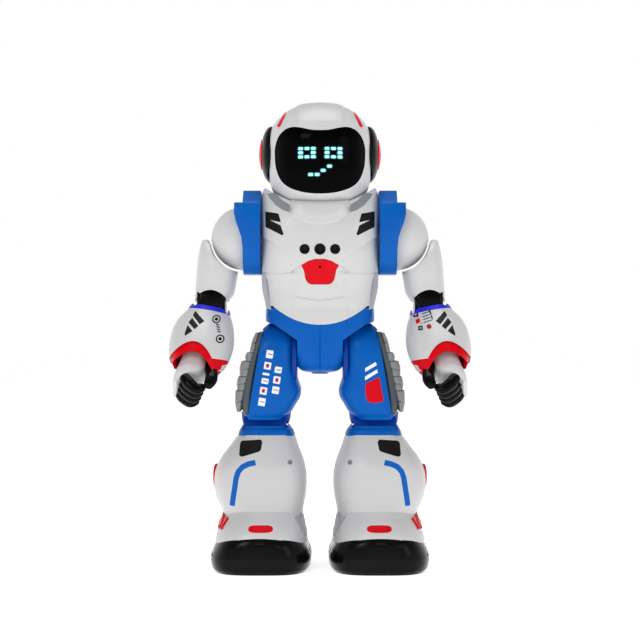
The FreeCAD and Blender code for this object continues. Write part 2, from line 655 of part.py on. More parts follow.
def make_thighs():
    outer = lofted(THIGH_ROWS, 0, 3.0)
    dome = rod(HIP_DOME_R, (10, 0, HIP_Z), (60, 0, HIP_Z)).fuse(box(0, 60, -30, 30, 80, HIP_Z))
    outer = outer.common(dome)
    inner = lofted([(90.0, 19.0, 43.0, -15, 15)] + THIGH_ROWS[2:-1], WALL, 3.0)
    inner_dome = rod(HIP_DOME_R - WALL, (10, 0, HIP_Z), (60, 0, HIP_Z)).fuse(box(0, 60, -30, 30, 80, HIP_Z))
    inner = inner.common(inner_dome)
    pad_tool = prism_y(PAD_PLANE, -40, 40)
    hub = rod(HIP_AXLE_R + 2.5, (THIGH_INNER_X, 0, HIP_Z), (32.0, 0, HIP_Z)).common(outer)
    neck = rod(KNEE_NECK_R, (KNEE_IN_X, 0, KNEE_Z), (KNEE_OUT_X, 0, KNEE_Z))
    neck = neck.fuse(box(KNEE_IN_X, KNEE_OUT_X, -KNEE_NECK_R + 1.5, KNEE_NECK_R - 1.5, KNEE_Z, 88.0))
    neck = neck.cut(rod(KNEE_NECK_R - 3, (KNEE_IN_X + 3, 0, KNEE_Z), (KNEE_OUT_X - 3, 0, KNEE_Z)))
    bores = [rod(HIP_AXLE_R + RUNNING, (0, 0, HIP_Z), (32.0, 0, HIP_Z)),
             rod(KNEE_PIN_R + RUNNING, (0, 0, KNEE_Z), (60, 0, KNEE_Z))]
    shell = outer.cut([inner, pad_tool]).fuse([hub, neck]).cut(bores)
    save_pair("thigh_shell", shell)
    save_pair("thigh_pad", outer.common(pad_tool).cut([inner, hub, neck] + bores))


COLLAR_ROWS = [
    (BOOT_TOP_Z, 14.8, 47.6, -16.8, 16.8),
    (79.6, 15.0, 47.2, -16.4, 16.4),
    (82.0, 17.4, 46.0, -14.6, 14.6),
]
SHIN_ROWS = [
    (ANKLE_Z, 9.4, 57.2, -30.0, 29.0),
    (36.0, 9.2, 58.2, -29.5, 28.5),
    (43.0, 8.2, 61.0, -29.5, 28.0),
    (52.0, 7.8, 61.4, -29.0, 27.5),
    (59.0, 8.8, 59.6, -27.0, 26.0),
    (64.0, 10.2, 57.4, -25.0, 24.0),
    (69.6, 12.3, 52.7, -22.0, 21.0),
    (74.0, 14.2, 49.0, -19.0, 18.5),
    (BOOT_TOP_Z, 15.8, 46.8, -16.5, 16.5),
]
FOOT_ROWS = [
    (SOLE_TOP_Z, 7.6, 60.4, -45.2, 44.0),
    (22.0, 8.2, 59.4, -40.0, 38.0),
    (27.0, 8.8, 58.2, -35.5, 33.5),
    (ANKLE_Z, 9.4, 57.2, -30.0, 29.0),
]
SOLE_ROWS = [
    (0.0, 8.0, 60.2, 3.2 - SOLE_HALF_Y, SOLE_HALF_Y - 3.2),
    (2.6, 5.6, 62.6, 0.8 - SOLE_HALF_Y, SOLE_HALF_Y - 0.8),
    (8.0, 4.7, 63.3, -SOLE_HALF_Y, SOLE_HALF_Y),
    (14.0, 6.0, 62.0, 1.6 - SOLE_HALF_Y, SOLE_HALF_Y - 1.6),
    (SOLE_TOP_Z, 7.6, 60.4, 3.4 - SOLE_HALF_Y, SOLE_HALF_Y - 3.4),
]


def knee_room():
    """Space for the knee neck and its swing, through the collar and the top of the shin."""
    room = rod(KNEE_NECK_R + GAP, (KNEE_IN_X - 0.4, 0, KNEE_Z), (KNEE_OUT_X + 0.4, 0, KNEE_Z))
    half_y = KNEE_NECK_R + GAP
    return room.fuse(box(KNEE_IN_X - 0.4, KNEE_OUT_X + 0.4, -half_y, half_y, 66, KNEE_Z))


def knee_collar():
    ring = lofted(COLLAR_ROWS, 0, 3.0)
    pin = rod(KNEE_PIN_R, (KNEE_IN_X - 3, 0, KNEE_Z), (KNEE_OUT_X + 2, 0, KNEE_Z))
    return ring.cut(knee_room()).fuse(pin)


def make_legs():
    make_thighs()
    save_pair("knee_collar", knee_collar())
    shin = lofted(SHIN_ROWS, 0, 3.0)
    hollow_rows = [(ANKLE_Z - 1,) + SHIN_ROWS[0][1:]] + SHIN_ROWS[1:-1]
    shin_inner = lofted(hollow_rows, WALL, 3.0)
    disc_tool = rod(7.4, (54, 0, 52), (64, 0, 52))
    save_pair("shin_shell", shin.cut([shin_inner, knee_room(), disc_tool]))

    foot = lofted(FOOT_ROWS, 0, 3.2)
    foot_inner = lofted([(SOLE_TOP_Z - 1,) + FOOT_ROWS[0][1:]] + FOOT_ROWS[1:-1]
                        + [(ANKLE_Z + 1,) + FOOT_ROWS[-1][1:]], WALL, 3.2)
    wedge_tool = prism_y([(52, 30.5), (66, 30.5), (66, 21.0), (58.2, 21.0)], -10, 10)
    foot_shell = foot.cut([foot_inner, wedge_tool])
    save_pair("foot_upper", foot_shell)
    disc = revolved([(56.0, 0), (56.0, 7.4), (60.6, 7.4), (61.8, 6.0), (62.6, 3.5), (62.6, 0)],
                    Vector(0, 0, 52), X_AXIS, Z_AXIS)
    wedge = foot.cut(foot_inner).common(wedge_tool)
    save_pair("shin_trims", Part.makeCompound([disc, wedge]))
    make_soles()


def make_soles():
    sole = lofted(SOLE_ROWS, 0, 3.4)
    hollow = box(FOOT_X - 22, FOOT_X + 22, -36, 36, 10.0, 40)
    sole = sole.cut(hollow)
    slots = []
    for side in (-1, 1):
        x = FOOT_X + side * ROLLER_OFFSET_X
        slots.append(box(x - 3.4, x + 3.4, ROLLER_Y - 5.0, ROLLER_Y + 5.0, -1, 11))
    axle_bore = rod(ROLLER_AXLE_R + RUNNING, (FOOT_X - 21, ROLLER_Y, ROLLER_R), (FOOT_X + 21, ROLLER_Y, ROLLER_R))
    tunnel = rod(2.0, (FOOT_X - 12.7, ROLLER_Y, ROLLER_R), (FOOT_X + 12.7, ROLLER_Y, ROLLER_R))
    save_pair("sole", sole.cut(slots + [axle_bore, tunnel]))
    roller = rod(ROLLER_AXLE_R, (FOOT_X - 20.6, ROLLER_Y, ROLLER_R), (FOOT_X + 20.6, ROLLER_Y, ROLLER_R))
    for side in (-1, 1):
        x = FOOT_X + side * ROLLER_OFFSET_X
        roller = roller.fuse(rod(ROLLER_R, (x - 3, ROLLER_Y, ROLLER_R), (x + 3, ROLLER_Y, ROLLER_R)))
    save_pair("sole_roller", roller)


make_head()
make_torso()
make_pelvis()
make_arms()
make_legs()
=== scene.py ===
"""Looks of the walking humanoid toy robot: moulded casings, gloss visor, lit face, decals and studio.

Lengths are written in millimetres in the robot's own frame and turned into metres when a mesh is
made. +Z is up, the robot faces -Y and its own left is +X. The pieces of the arms and legs are built
for the left side and mirrored to the right.
"""
import bpy
import json
import math
import numpy as np
from mathutils import Matrix, Vector
from mathutils.bvhtree import BVHTree
from mathutils.geometry import delaunay_2d_cdt


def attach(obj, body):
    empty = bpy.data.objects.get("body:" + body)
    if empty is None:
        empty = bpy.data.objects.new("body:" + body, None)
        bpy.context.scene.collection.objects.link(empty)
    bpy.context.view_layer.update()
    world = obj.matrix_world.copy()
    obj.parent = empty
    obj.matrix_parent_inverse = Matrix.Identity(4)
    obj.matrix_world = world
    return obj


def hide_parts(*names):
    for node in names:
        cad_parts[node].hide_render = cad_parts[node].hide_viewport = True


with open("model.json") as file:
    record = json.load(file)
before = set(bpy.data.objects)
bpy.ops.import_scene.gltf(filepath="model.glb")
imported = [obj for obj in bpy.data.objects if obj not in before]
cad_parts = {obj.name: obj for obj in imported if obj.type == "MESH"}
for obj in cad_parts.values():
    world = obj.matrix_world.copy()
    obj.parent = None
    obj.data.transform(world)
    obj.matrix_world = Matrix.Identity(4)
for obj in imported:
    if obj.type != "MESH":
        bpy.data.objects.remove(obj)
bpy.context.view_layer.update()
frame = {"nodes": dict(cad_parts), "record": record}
MM = 0.001
FAR = 60.0


# ---------------------------------------------------------------- mesh tools
def shade(piece, sharp_deg=38):
    """Smooth shading, with edges sharper than the given angle kept crisp."""
    piece.data.shade_smooth()
    piece.data.set_sharp_from_angle(angle=math.radians(sharp_deg))


def new_piece(name, points, faces, material, sharp_deg=38):
    mesh = bpy.data.meshes.new(name)
    mesh.from_pydata((np.asarray(points, float) * MM).tolist(), [], faces)
    mesh.materials.append(material)
    piece = bpy.data.objects.new(name, mesh)
    bpy.context.scene.collection.objects.link(piece)
    shade(piece, sharp_deg)
    return piece


def points_of(piece):
    co = np.zeros(len(piece.data.vertices) * 3)
    piece.data.vertices.foreach_get("co", co)
    return co.reshape(-1, 3) / MM


def set_points(piece, points):
    piece.data.vertices.foreach_set("co", (points * MM).ravel())
    piece.data.update()


def tube_faces(rows, count):
    """Faces of a tube through rows of count points, closed by a fan round a last point at each end."""
    faces = []
    for i in range(rows - 1):
        for j in range(count):
            k = (j + 1) % count
            faces.append((i * count + j, i * count + k, (i + 1) * count + k, (i + 1) * count + j))
    total = rows * count
    for j in range(count):
        k = (j + 1) % count
        faces.append((k, j, total))
        faces.append((total - count + j, total - count + k, total + 1))
    return faces


def normals_of(piece):
    normals = np.zeros(len(piece.data.vertices) * 3)
    piece.data.vertex_normals.foreach_get("vector", normals)
    return normals.reshape(-1, 3)


def ring(x_low, x_high, y_front, y_back, power, count):
    """Closed superellipse through the given box, with evenly spaced points."""
    angle = np.linspace(0, 2 * math.pi, 8 * count, endpoint=False)
    c, s = np.cos(angle), np.sin(angle)
    x = (x_low + x_high) / 2 + (x_high - x_low) / 2 * np.sign(c) * np.abs(c) ** (2 / power)
    y = (y_front + y_back) / 2 + (y_back - y_front) / 2 * np.sign(s) * np.abs(s) ** (2 / power)
    x, y = np.append(x, x[0]), np.append(y, y[0])
    length = np.concatenate([[0], np.cumsum(np.hypot(np.diff(x), np.diff(y)))])
    at = np.linspace(0, length[-1], count, endpoint=False)
    return np.stack([np.interp(at, length, x), np.interp(at, length, y)], 1)


def smooth_rows(rows, samples):
    """Rows read along a monotone cubic, so that a casing never bulges past its sections."""
    rows = np.asarray(rows, float)
    girth = (rows[:, 2] - rows[:, 1] + rows[:, 4] - rows[:, 3]) / 4
    t = np.concatenate([[0], np.cumsum(np.hypot(np.diff(rows[:, 0]), np.diff(girth)))])
    h = np.diff(t)[:, None]
    slope = np.diff(rows, axis=0) / h
    tangent = np.zeros_like(rows)
    same = slope[:-1] * slope[1:] > 0
    mean = 2 * slope[:-1] * slope[1:] / np.where(same, slope[:-1] + slope[1:], 1)
    tangent[1:-1] = np.where(same, mean, 0)
    tangent[0], tangent[-1] = slope[0], slope[-1]
    at = np.linspace(0, t[-1], samples)
    i = np.clip(np.searchsorted(t, at, side="right") - 1, 0, len(t) - 2)
    u = ((at - t[i]) / np.diff(t)[i])[:, None]
    step = h[i]
    return ((2 * u ** 3 - 3 * u ** 2 + 1) * rows[i] + (u ** 3 - 2 * u ** 2 + u) * step * tangent[i]
            + (3 * u ** 2 - 2 * u ** 3) * rows[i + 1] + (u ** 3 - u ** 2) * step * tangent[i + 1])


def loft(name, rows, material, power=2.6, rings=60, count=96, round_low=0.8, round_high=0.8):
    """Casing through rows of (z, x_low, x_high, y_front, y_back), with rounded ends."""
    sections = []
    smooth = smooth_rows(rows, rings)
    turns = [math.radians(a) for a in (18, 36, 54, 72, 90)]

    def rounded(row, radius, turn, sign):
        inset = radius * (1 - math.cos(turn))
        z = row[0] + sign * radius * math.sin(turn)
        return z, row[1] + inset, row[2] - inset, row[3] + inset, row[4] - inset

    if round_low:
        sections += [rounded(smooth[0], round_low, turn, -1) for turn in reversed(turns)]
    sections += [tuple(row[:5]) for row in smooth]
    if round_high:
        sections += [rounded(smooth[-1], round_high, turn, 1) for turn in turns]
    points = []
    for z, x_low, x_high, y_front, y_back in sections:
        xy = ring(x_low, x_high, y_front, y_back, power, count)
        points.append(np.column_stack([xy, np.full(count, z)]))
    ends = [points[0].mean(0), points[-1].mean(0)]
    return new_piece(name, np.vstack(points + ends), tube_faces(len(sections), count), material)


def lathe(name, profile, centre, axis, material, count=96):
    """Turned piece: profile is (along, radius) from centre, turned about the X, Y or Z axis."""
    along_axis = "XYZ".index(axis)
    u_axis, v_axis = [(1, 2), (2, 0), (0, 1)][along_axis]
    points = []
    angles = np.linspace(0, 2 * math.pi, count, endpoint=False)
    for along, radius in profile:
        block = np.zeros((count, 3))
        block[:, along_axis] = along
        block[:, u_axis] = radius * np.cos(angles)
        block[:, v_axis] = radius * np.sin(angles)
        points.append(block)
    points = np.vstack(points + [points[0].mean(0), points[-1].mean(0)]) + np.array(centre, float)
    piece = new_piece(name, points, tube_faces(len(profile), count), material)
    if profile[-1][0] < profile[0][0]:
        piece.data.flip_normals()
    return piece


def rounded_corner(before, corner, after, radius, steps):
    """Points of a curve that takes the place of a corner."""
    p, a, b = Vector(corner), Vector(before), Vector(after)
    reach = min(radius, (a - p).length * 0.45, (b - p).length * 0.45)
    start, end = p + (a - p).normalized() * reach, p + (b - p).normalized() * reach
    out = []
    for i in range(steps + 1):
        t = i / steps
        point = start * (1 - t) ** 2 + p * 2 * t * (1 - t) + end * t ** 2
        out.append((point.x, point.y))
    return out


def rounded_profile(corners, radius=0.6, steps=4):
    """Lathe profile through corners, with every inner corner rounded."""
    out = [corners[0]]
    for before, corner, after in zip(corners, corners[1:], corners[2:]):
        out += rounded_corner(before, corner, after, radius, steps)
    return out + [corners[-1]]


def catmull_rom(p0, p1, p2, p3, t):
    """Point between p1 and p2 on a smooth curve through four points."""
    return 0.5 * (2 * p1 + (p2 - p0) * t + (2 * p0 - 5 * p1 + 4 * p2 - p3) * t * t
                  + (3 * p1 - p0 - 3 * p2 + p3) * t ** 3)


def prism(outline, axis, low, high, name="tool"):
    """Straight solid swept along an axis from an outline: (x, z) along Y, (y, z) along X, (x, y) along Z."""
    count = len(outline)
    blocks = []
    for level in (low, high):
        for a, b in outline:
            blocks.append({"Y": (a, level, b), "X": (level, a, b), "Z": (a, b, level)}[axis])
    area = sum(p[0] * q[1] - q[0] * p[1] for p, q in zip(outline, outline[1:] + outline[:1]))
    faces = [tuple(range(count)), tuple(range(2 * count - 1, count - 1, -1))]
    for j in range(count):
        k = (j + 1) % count
        faces.append((k, j, j + count, k + count))
    piece = new_piece(name, blocks, faces, MATERIALS["white"])
    if (area > 0) != (axis == "Y"):
        piece.data.flip_normals()
    return piece


def ball(name, centre, radius, material=None, count=96):
    """Round solid with its poles on the Z axis."""
    profile = [(-radius * math.cos(t), radius * math.sin(t))
               for t in np.linspace(0.02, math.pi - 0.02, count // 2)]
    return lathe(name, profile, centre, "Z", material or MATERIALS["white"], count)


def combine(piece, tool, operation="DIFFERENCE", keep_tool=False):
    """Cuts, joins or intersects a piece with a tool and makes the result its mesh."""
    modifier = piece.modifiers.new("combine", "BOOLEAN")
    modifier.operation = operation
    modifier.object = tool
    modifier.solver = "EXACT"
    graph = bpy.context.evaluated_depsgraph_get()
    mesh = bpy.data.meshes.new_from_object(piece.evaluated_get(graph), depsgraph=graph)
    piece.modifiers.clear()
    old = piece.data
    material = old.materials[0]
    piece.data = mesh
    bpy.data.meshes.remove(old)
    mesh.materials.clear()
    mesh.materials.append(material)
    mesh.polygons.foreach_set("material_index", np.zeros(len(mesh.polygons), np.int32))
    if not keep_tool:
        bpy.data.objects.remove(tool)
    shade(piece)
    return piece


def cut(piece, outline, low=-FAR, high=FAR, axis="Y"):
    """Cuts an outline straight through a piece, from low to high along an axis."""
    return combine(piece, prism(outline, axis, low, high))


def swap_side(piece):
    """Mirrors a piece in place."""
    points = points_of(piece)
    points[:, 0] *= -1
    set_points(piece, points)
    piece.data.flip_normals()
    return piece


def mirrored(piece, name):
    """The same piece for the robot's other side."""
    twin = piece.copy()
    twin.data = piece.data.copy()
    twin.name = name
    twin.data.name = name
    bpy.context.scene.collection.objects.link(twin)
    return swap_side(twin)


def transformed(piece, matrix):
    """Moves the mesh itself by a matrix in millimetres."""
    points = points_of(piece)
    points = points @ np.array(matrix.to_3x3()).T + np.array(matrix.translation)
    set_points(piece, points)
    return piece


# ---------------------------------------------------------------- relief on a casing
SIDES = {"front": (0, 2, 1, -1), "back": (0, 2, 1, 1), "left": (1, 2, 0, 1), "right": (1, 2, 0, -1)}


def distance_to_line(plane, line, closed):
    """Distance from each (a, b) to a polyline."""
    ends = line + line[:1] if closed else line
    best = np.full(len(plane), 1e9)
    for p, q in zip(ends, ends[1:]):
        p, q = np.array(p, float), np.array(q, float)
        run = q - p
        t = np.clip(((plane - p) @ run) / max(run @ run, 1e-9), 0, 1)
        best = np.minimum(best, np.hypot(*(plane - p - t[:, None] * run).T))
    return best


def inside(plane, outline):
    """Which (a, b) lie inside an outline."""
    result = np.zeros(len(plane), bool)
    x, y = plane.T
    for (x1, y1), (x2, y2) in zip(outline, outline[1:] + outline[:1]):
        if y1 == y2:
            continue
        crosses = (y1 > y) != (y2 > y)
        result ^= crosses & (x < (x2 - x1) * (y - y1) / (y2 - y1) + x1)
    return result


def ease(t):
    t = np.clip(t, 0, 1)
    return t * t * (3 - 2 * t)


def facing(points, normals, side):
    """(a, b) of each point in the side's view, and how far it faces that side from 0 to 1."""
    a, b, across, sign = SIDES[side]
    return points[:, [a, b]], ease(normals[:, across] * sign / 0.25)


def groove(line, width, depth, side="front", closed=False):
    """Rounded channel along a line."""
    def field(points, normals):
        plane, weight = facing(points, normals, side)
        return -depth * weight * ease(1 - distance_to_line(plane, line, closed) / width)
    return field


def raised(outline, height, blend, side="front"):
    """Plate standing proud of the casing by height, with a slope of width blend at its edge."""
    def field(points, normals):
        plane, weight = facing(points, normals, side)
        signed = np.where(inside(plane, outline), 1, -1) * distance_to_line(plane, outline, True)
        return height * weight * ease(signed / blend + 0.5)
    return field


def sculpt(piece, *fields):
    points, normals = points_of(piece), normals_of(piece)
    depth = sum(field(points, normals) for field in fields)
    set_points(piece, points + normals * depth[:, None])
    shade(piece)
    return piece


# ---------------------------------------------------------------- inlays and printed marks
class Surface:
    """A casing that inlays and marks are laid on."""

    def __init__(self, piece):
        mesh = piece.data
        mesh.calc_loop_triangles()
        self.points = points_of(piece)
        self.normals = normals_of(piece)
        self.triangles = [tuple(t.vertices) for t in mesh.loop_triangles]
        self.tree = BVHTree.FromPolygons(self.points.tolist(), self.triangles)

    def project(self, start, direction):
        """Point and smooth normal where a ray meets the casing."""
        hit, _, index, _ = self.tree.ray_cast(Vector(start), Vector(direction))
        if hit is None:
            hit, _, index, _ = self.tree.find_nearest(Vector(start) + Vector(direction) * 170)
        corners = self.triangles[index]
        a, b, c = (self.points[k] for k in corners)
        p = np.array(hit)
        v0, v1, v2 = b - a, c - a, p - a
        d00, d01, d11, d20, d21 = v0 @ v0, v0 @ v1, v1 @ v1, v2 @ v0, v2 @ v1
        scale = max(d00 * d11 - d01 * d01, 1e-12)
        v, w = (d11 * d20 - d01 * d21) / scale, (d00 * d21 - d01 * d20) / scale
        normal = (1 - v - w) * self.normals[corners[0]] + v * self.normals[corners[1]]
        normal = normal + w * self.normals[corners[2]]
        return p, normal / max(np.linalg.norm(normal), 1e-9)


RAYS = {"front": lambda a, b: ((a, -200, b), (0, 1, 0)), "back": lambda a, b: ((a, 200, b), (0, -1, 0)),
        "left": lambda a, b: ((200, a, b), (-1, 0, 0)), "right": lambda a, b: ((-200, a, b), (1, 0, 0))}


def densify(outline, step):
    out = []
    for p, q in zip(outline, outline[1:] + outline[:1]):
        parts = max(1, int(math.dist(p, q) / step))
        for i in range(parts):
            t = i / parts
            out.append((p[0] + (q[0] - p[0]) * t, p[1] + (q[1] - p[1]) * t))
    return out


def shrink(outline, amount):
    """Outline moved inwards by amount."""
    area = sum(p[0] * q[1] - q[0] * p[1] for p, q in zip(outline, outline[1:] + outline[:1]))
    sign = 1 if area > 0 else -1
    out = []
    count = len(outline)
    for i in range(count):
        before, here, after = (np.array(outline[(i + d) % count], float) for d in (-1, 0, 1))
        e1, e2 = here - before, after - here
        n1 = np.array([-e1[1], e1[0]]) / max(np.linalg.norm(e1), 1e-9)
        n2 = np.array([-e2[1], e2[0]]) / max(np.linalg.norm(e2), 1e-9)
        n = n1 + n2
        out.append(tuple(here + sign * amount * n / max(n @ n, 0.5) * 2))
    return out


def rounded_outline(corners, radius, steps=5):
    """Closed outline with rounded corners."""
    out = []
    count = len(corners)
    for i in range(count):
        out += rounded_corner(*(corners[(i + d) % count] for d in (-1, 0, 1)), radius, steps)
    return out


def smooth_outline(points, steps=8):
    """Closed Catmull-Rom curve through the points."""
    out = []
    count = len(points)
    for i in range(count):
        near = [Vector(points[(i + d) % count]) for d in (-1, 0, 1, 2)]
        for k in range(steps):
            q = catmull_rom(*near, k / steps)
            out.append((q.x, q.y))
    return out


def rectangle(a_low, b_low, a_high, b_high):
    return [(a_low, b_low), (a_high, b_low), (a_high, b_high), (a_low, b_high)]


def circle(x, z, radius, count=40):
    angles = [2 * math.pi * i / count for i in range(count)]
    return [(x + radius * math.cos(a), z + radius * math.sin(a)) for a in angles]


def stroke(line, width):
    """Outline of a band of constant width along a line, with square ends."""
    left, right = [], []
    for i, point in enumerate(line):
        before, after = line[max(i - 1, 0)], line[min(i + 1, len(line) - 1)]
        dx, dz = after[0] - before[0], after[1] - before[1]
        length = math.hypot(dx, dz)
        nx, nz = -dz / length * width / 2, dx / length * width / 2
        left.append((point[0] + nx, point[1] + nz))
        right.append((point[0] - nx, point[1] - nz))
    return left + right[::-1]


def inlay(name, outline, surface, material, lift=0.06, bevel=0.0, depth=0.35, step=0.7, side="front",
          holes=()):
    """Thin piece that follows a casing: a printed mark when lift is tiny, a badge when it's thick."""
    rims = [densify(outline, step)]
    drops = [bevel]
    if bevel:
        rims += [shrink(rims[0], bevel * 0.175), shrink(rims[0], bevel * 0.5)]
        drops += [bevel * 0.25, 0.0]
    rims += [densify(hole, step) for hole in holes]
    drops += [0.0] * len(holes)
    plane, edges, fall = [], [], []
    for rim, drop in zip(rims, drops):
        first = len(plane)
        plane += rim
        fall += [drop] * len(rim)
        edges += [(first + i, first + (i + 1) % len(rim)) for i in range(len(rim))]
    outer = np.array(rims[0])
    low, high = outer.min(0), outer.max(0)
    grid = np.array([(x + step * 0.5 * (j % 2), z) for j, z in enumerate(np.arange(low[1], high[1], step))
                     for x in np.arange(low[0], high[0], step)])
    if len(grid):
        keep = inside(grid, rims[0])
        for rim in rims:
            keep &= distance_to_line(grid, rim, True) > step * 0.4
        for hole in holes:
            keep &= ~inside(grid, hole)
        extra = grid[keep].tolist()
        plane += [tuple(p) for p in extra]
        fall += [0.0] * len(extra)
    verts, _, faces, source, _, _ = delaunay_2d_cdt([Vector(p) for p in plane], edges, [], 1, 1e-5)
    verts = np.array([tuple(v) for v in verts])
    fall = np.array([fall[s[0]] if s else 0.0 for s in source])
    kept = []
    for face in faces:
        centre = verts[list(face)].mean(0)[None]
        if inside(centre, rims[0])[0] and not any(inside(centre, hole)[0] for hole in holes):
            kept.append(tuple(face))
    top, low_points = [], []
    for (a, b), drop in zip(verts, fall):
        point, normal = surface.project(*RAYS[side](float(a), float(b)))
        top.append(point + normal * (lift - drop))
        low_points.append(point - normal * depth)
    rim_edges = {pair: None for face in kept for pair in zip(face, face[1:] + face[:1])}
    count = len(top)
    faces = kept + [tuple(count + k for k in reversed(face)) for face in kept]
    for p, q in rim_edges:
        if (q, p) not in rim_edges:
            faces.append((q, p, p + count, q + count))
    piece = new_piece(name, np.array(top + low_points), faces, material)
    toward = Vector(RAYS[side](0, 0)[1])
    if piece.data.polygons[0].normal.dot(toward) > 0:
        piece.data.flip_normals()
    shade(piece, 50)
    return piece


# ---------------------------------------------------------------- materials
def plastic(name, colour, roughness, coat=0.0, mottle=0.03, grain=0.02, grain_size=0.5, specular=0.5,
            edge=0.06):
    """Moulded plastic: faint tone drift, uneven gloss, fine mould grain, and convex edges painted paler as a
    painted edge highlight.
    """
    material = bpy.data.materials.new(name)
    material.use_nodes = True
    nodes, links = material.node_tree.nodes, material.node_tree.links
    shader = nodes["Principled BSDF"]
    place = nodes.new("ShaderNodeTexCoord")
    drift = nodes.new("ShaderNodeTexNoise")
    drift.inputs["Scale"].default_value = 55
    drift.inputs["Detail"].default_value = 3
    links.new(place.outputs["Object"], drift.inputs["Vector"])
    tone = nodes.new("ShaderNodeValToRGB")
    tone.color_ramp.elements[0].position = 0.3
    tone.color_ramp.elements[1].position = 0.7
    tone.color_ramp.elements[0].color = tuple(c * (1 - mottle) for c in colour) + (1,)
    tone.color_ramp.elements[1].color = tuple(min(1, c * (1 + mottle)) for c in colour) + (1,)
    links.new(drift.outputs["Fac"], tone.inputs["Fac"])
    # Painted edge highlight: pointiness picks out the convex edges, and these are mixed towards a paler
    # colour, up to the share edge.
    edge_highlight = nodes.new("ShaderNodeMapRange")
    geometry = nodes.new("ShaderNodeNewGeometry")
    edge_highlight.inputs["From Min"].default_value = 0.52
    edge_highlight.inputs["From Max"].default_value = 0.62
    edge_highlight.inputs["To Max"].default_value = edge
    links.new(geometry.outputs["Pointiness"], edge_highlight.inputs["Value"])
    paler = nodes.new("ShaderNodeMix")
    paler.data_type = "RGBA"
    paler.inputs[7].default_value = tuple(c + (1 - c) * 0.5 for c in colour) + (1,)
    links.new(edge_highlight.outputs["Result"], paler.inputs[0])
    links.new(tone.outputs["Color"], paler.inputs[6])
    links.new(paler.outputs[2], shader.inputs["Base Color"])
    smear = nodes.new("ShaderNodeTexNoise")
    smear.inputs["Scale"].default_value = 140
    smear.inputs["Detail"].default_value = 4
    links.new(place.outputs["Object"], smear.inputs["Vector"])
    gloss = nodes.new("ShaderNodeMapRange")
    gloss.inputs["From Min"].default_value = 0.3
    gloss.inputs["From Max"].default_value = 0.7
    gloss.inputs["To Min"].default_value = max(0.02, roughness * 0.82)
    gloss.inputs["To Max"].default_value = min(1, roughness * 1.2)
    links.new(smear.outputs["Fac"], gloss.inputs["Value"])
    links.new(gloss.outputs["Result"], shader.inputs["Roughness"])
    fine = nodes.new("ShaderNodeTexNoise")
    fine.inputs["Scale"].default_value = 1000 / grain_size
    fine.inputs["Detail"].default_value = 2
    links.new(place.outputs["Object"], fine.inputs["Vector"])
    bump = nodes.new("ShaderNodeBump")
    bump.inputs["Strength"].default_value = grain
    bump.inputs["Distance"].default_value = 0.0002
    links.new(fine.outputs["Fac"], bump.inputs["Height"])
    links.new(bump.outputs["Normal"], shader.inputs["Normal"])
    shader.inputs["Coat Weight"].default_value = coat
    shader.inputs["Coat Roughness"].default_value = 0.08
    shader.inputs["Specular IOR Level"].default_value = specular
    return material


def metal(name, colour, roughness):
    """Turned or plated metal with fine streaks."""
    material = plastic(name, colour, roughness, mottle=0.05, grain=0.05, grain_size=0.25, edge=0.1)
    material.node_tree.nodes["Principled BSDF"].inputs["Metallic"].default_value = 1.0
    return material


def lit(name, colour, strength):
    """Light-emitting diode, or the glow round it, seen through the visor."""
    material = plastic(name, colour, 0.3)
    shader = material.node_tree.nodes["Principled BSDF"]
    shader.inputs["Emission Color"].default_value = colour + (1,)
    shader.inputs["Emission Strength"].default_value = strength
    return material


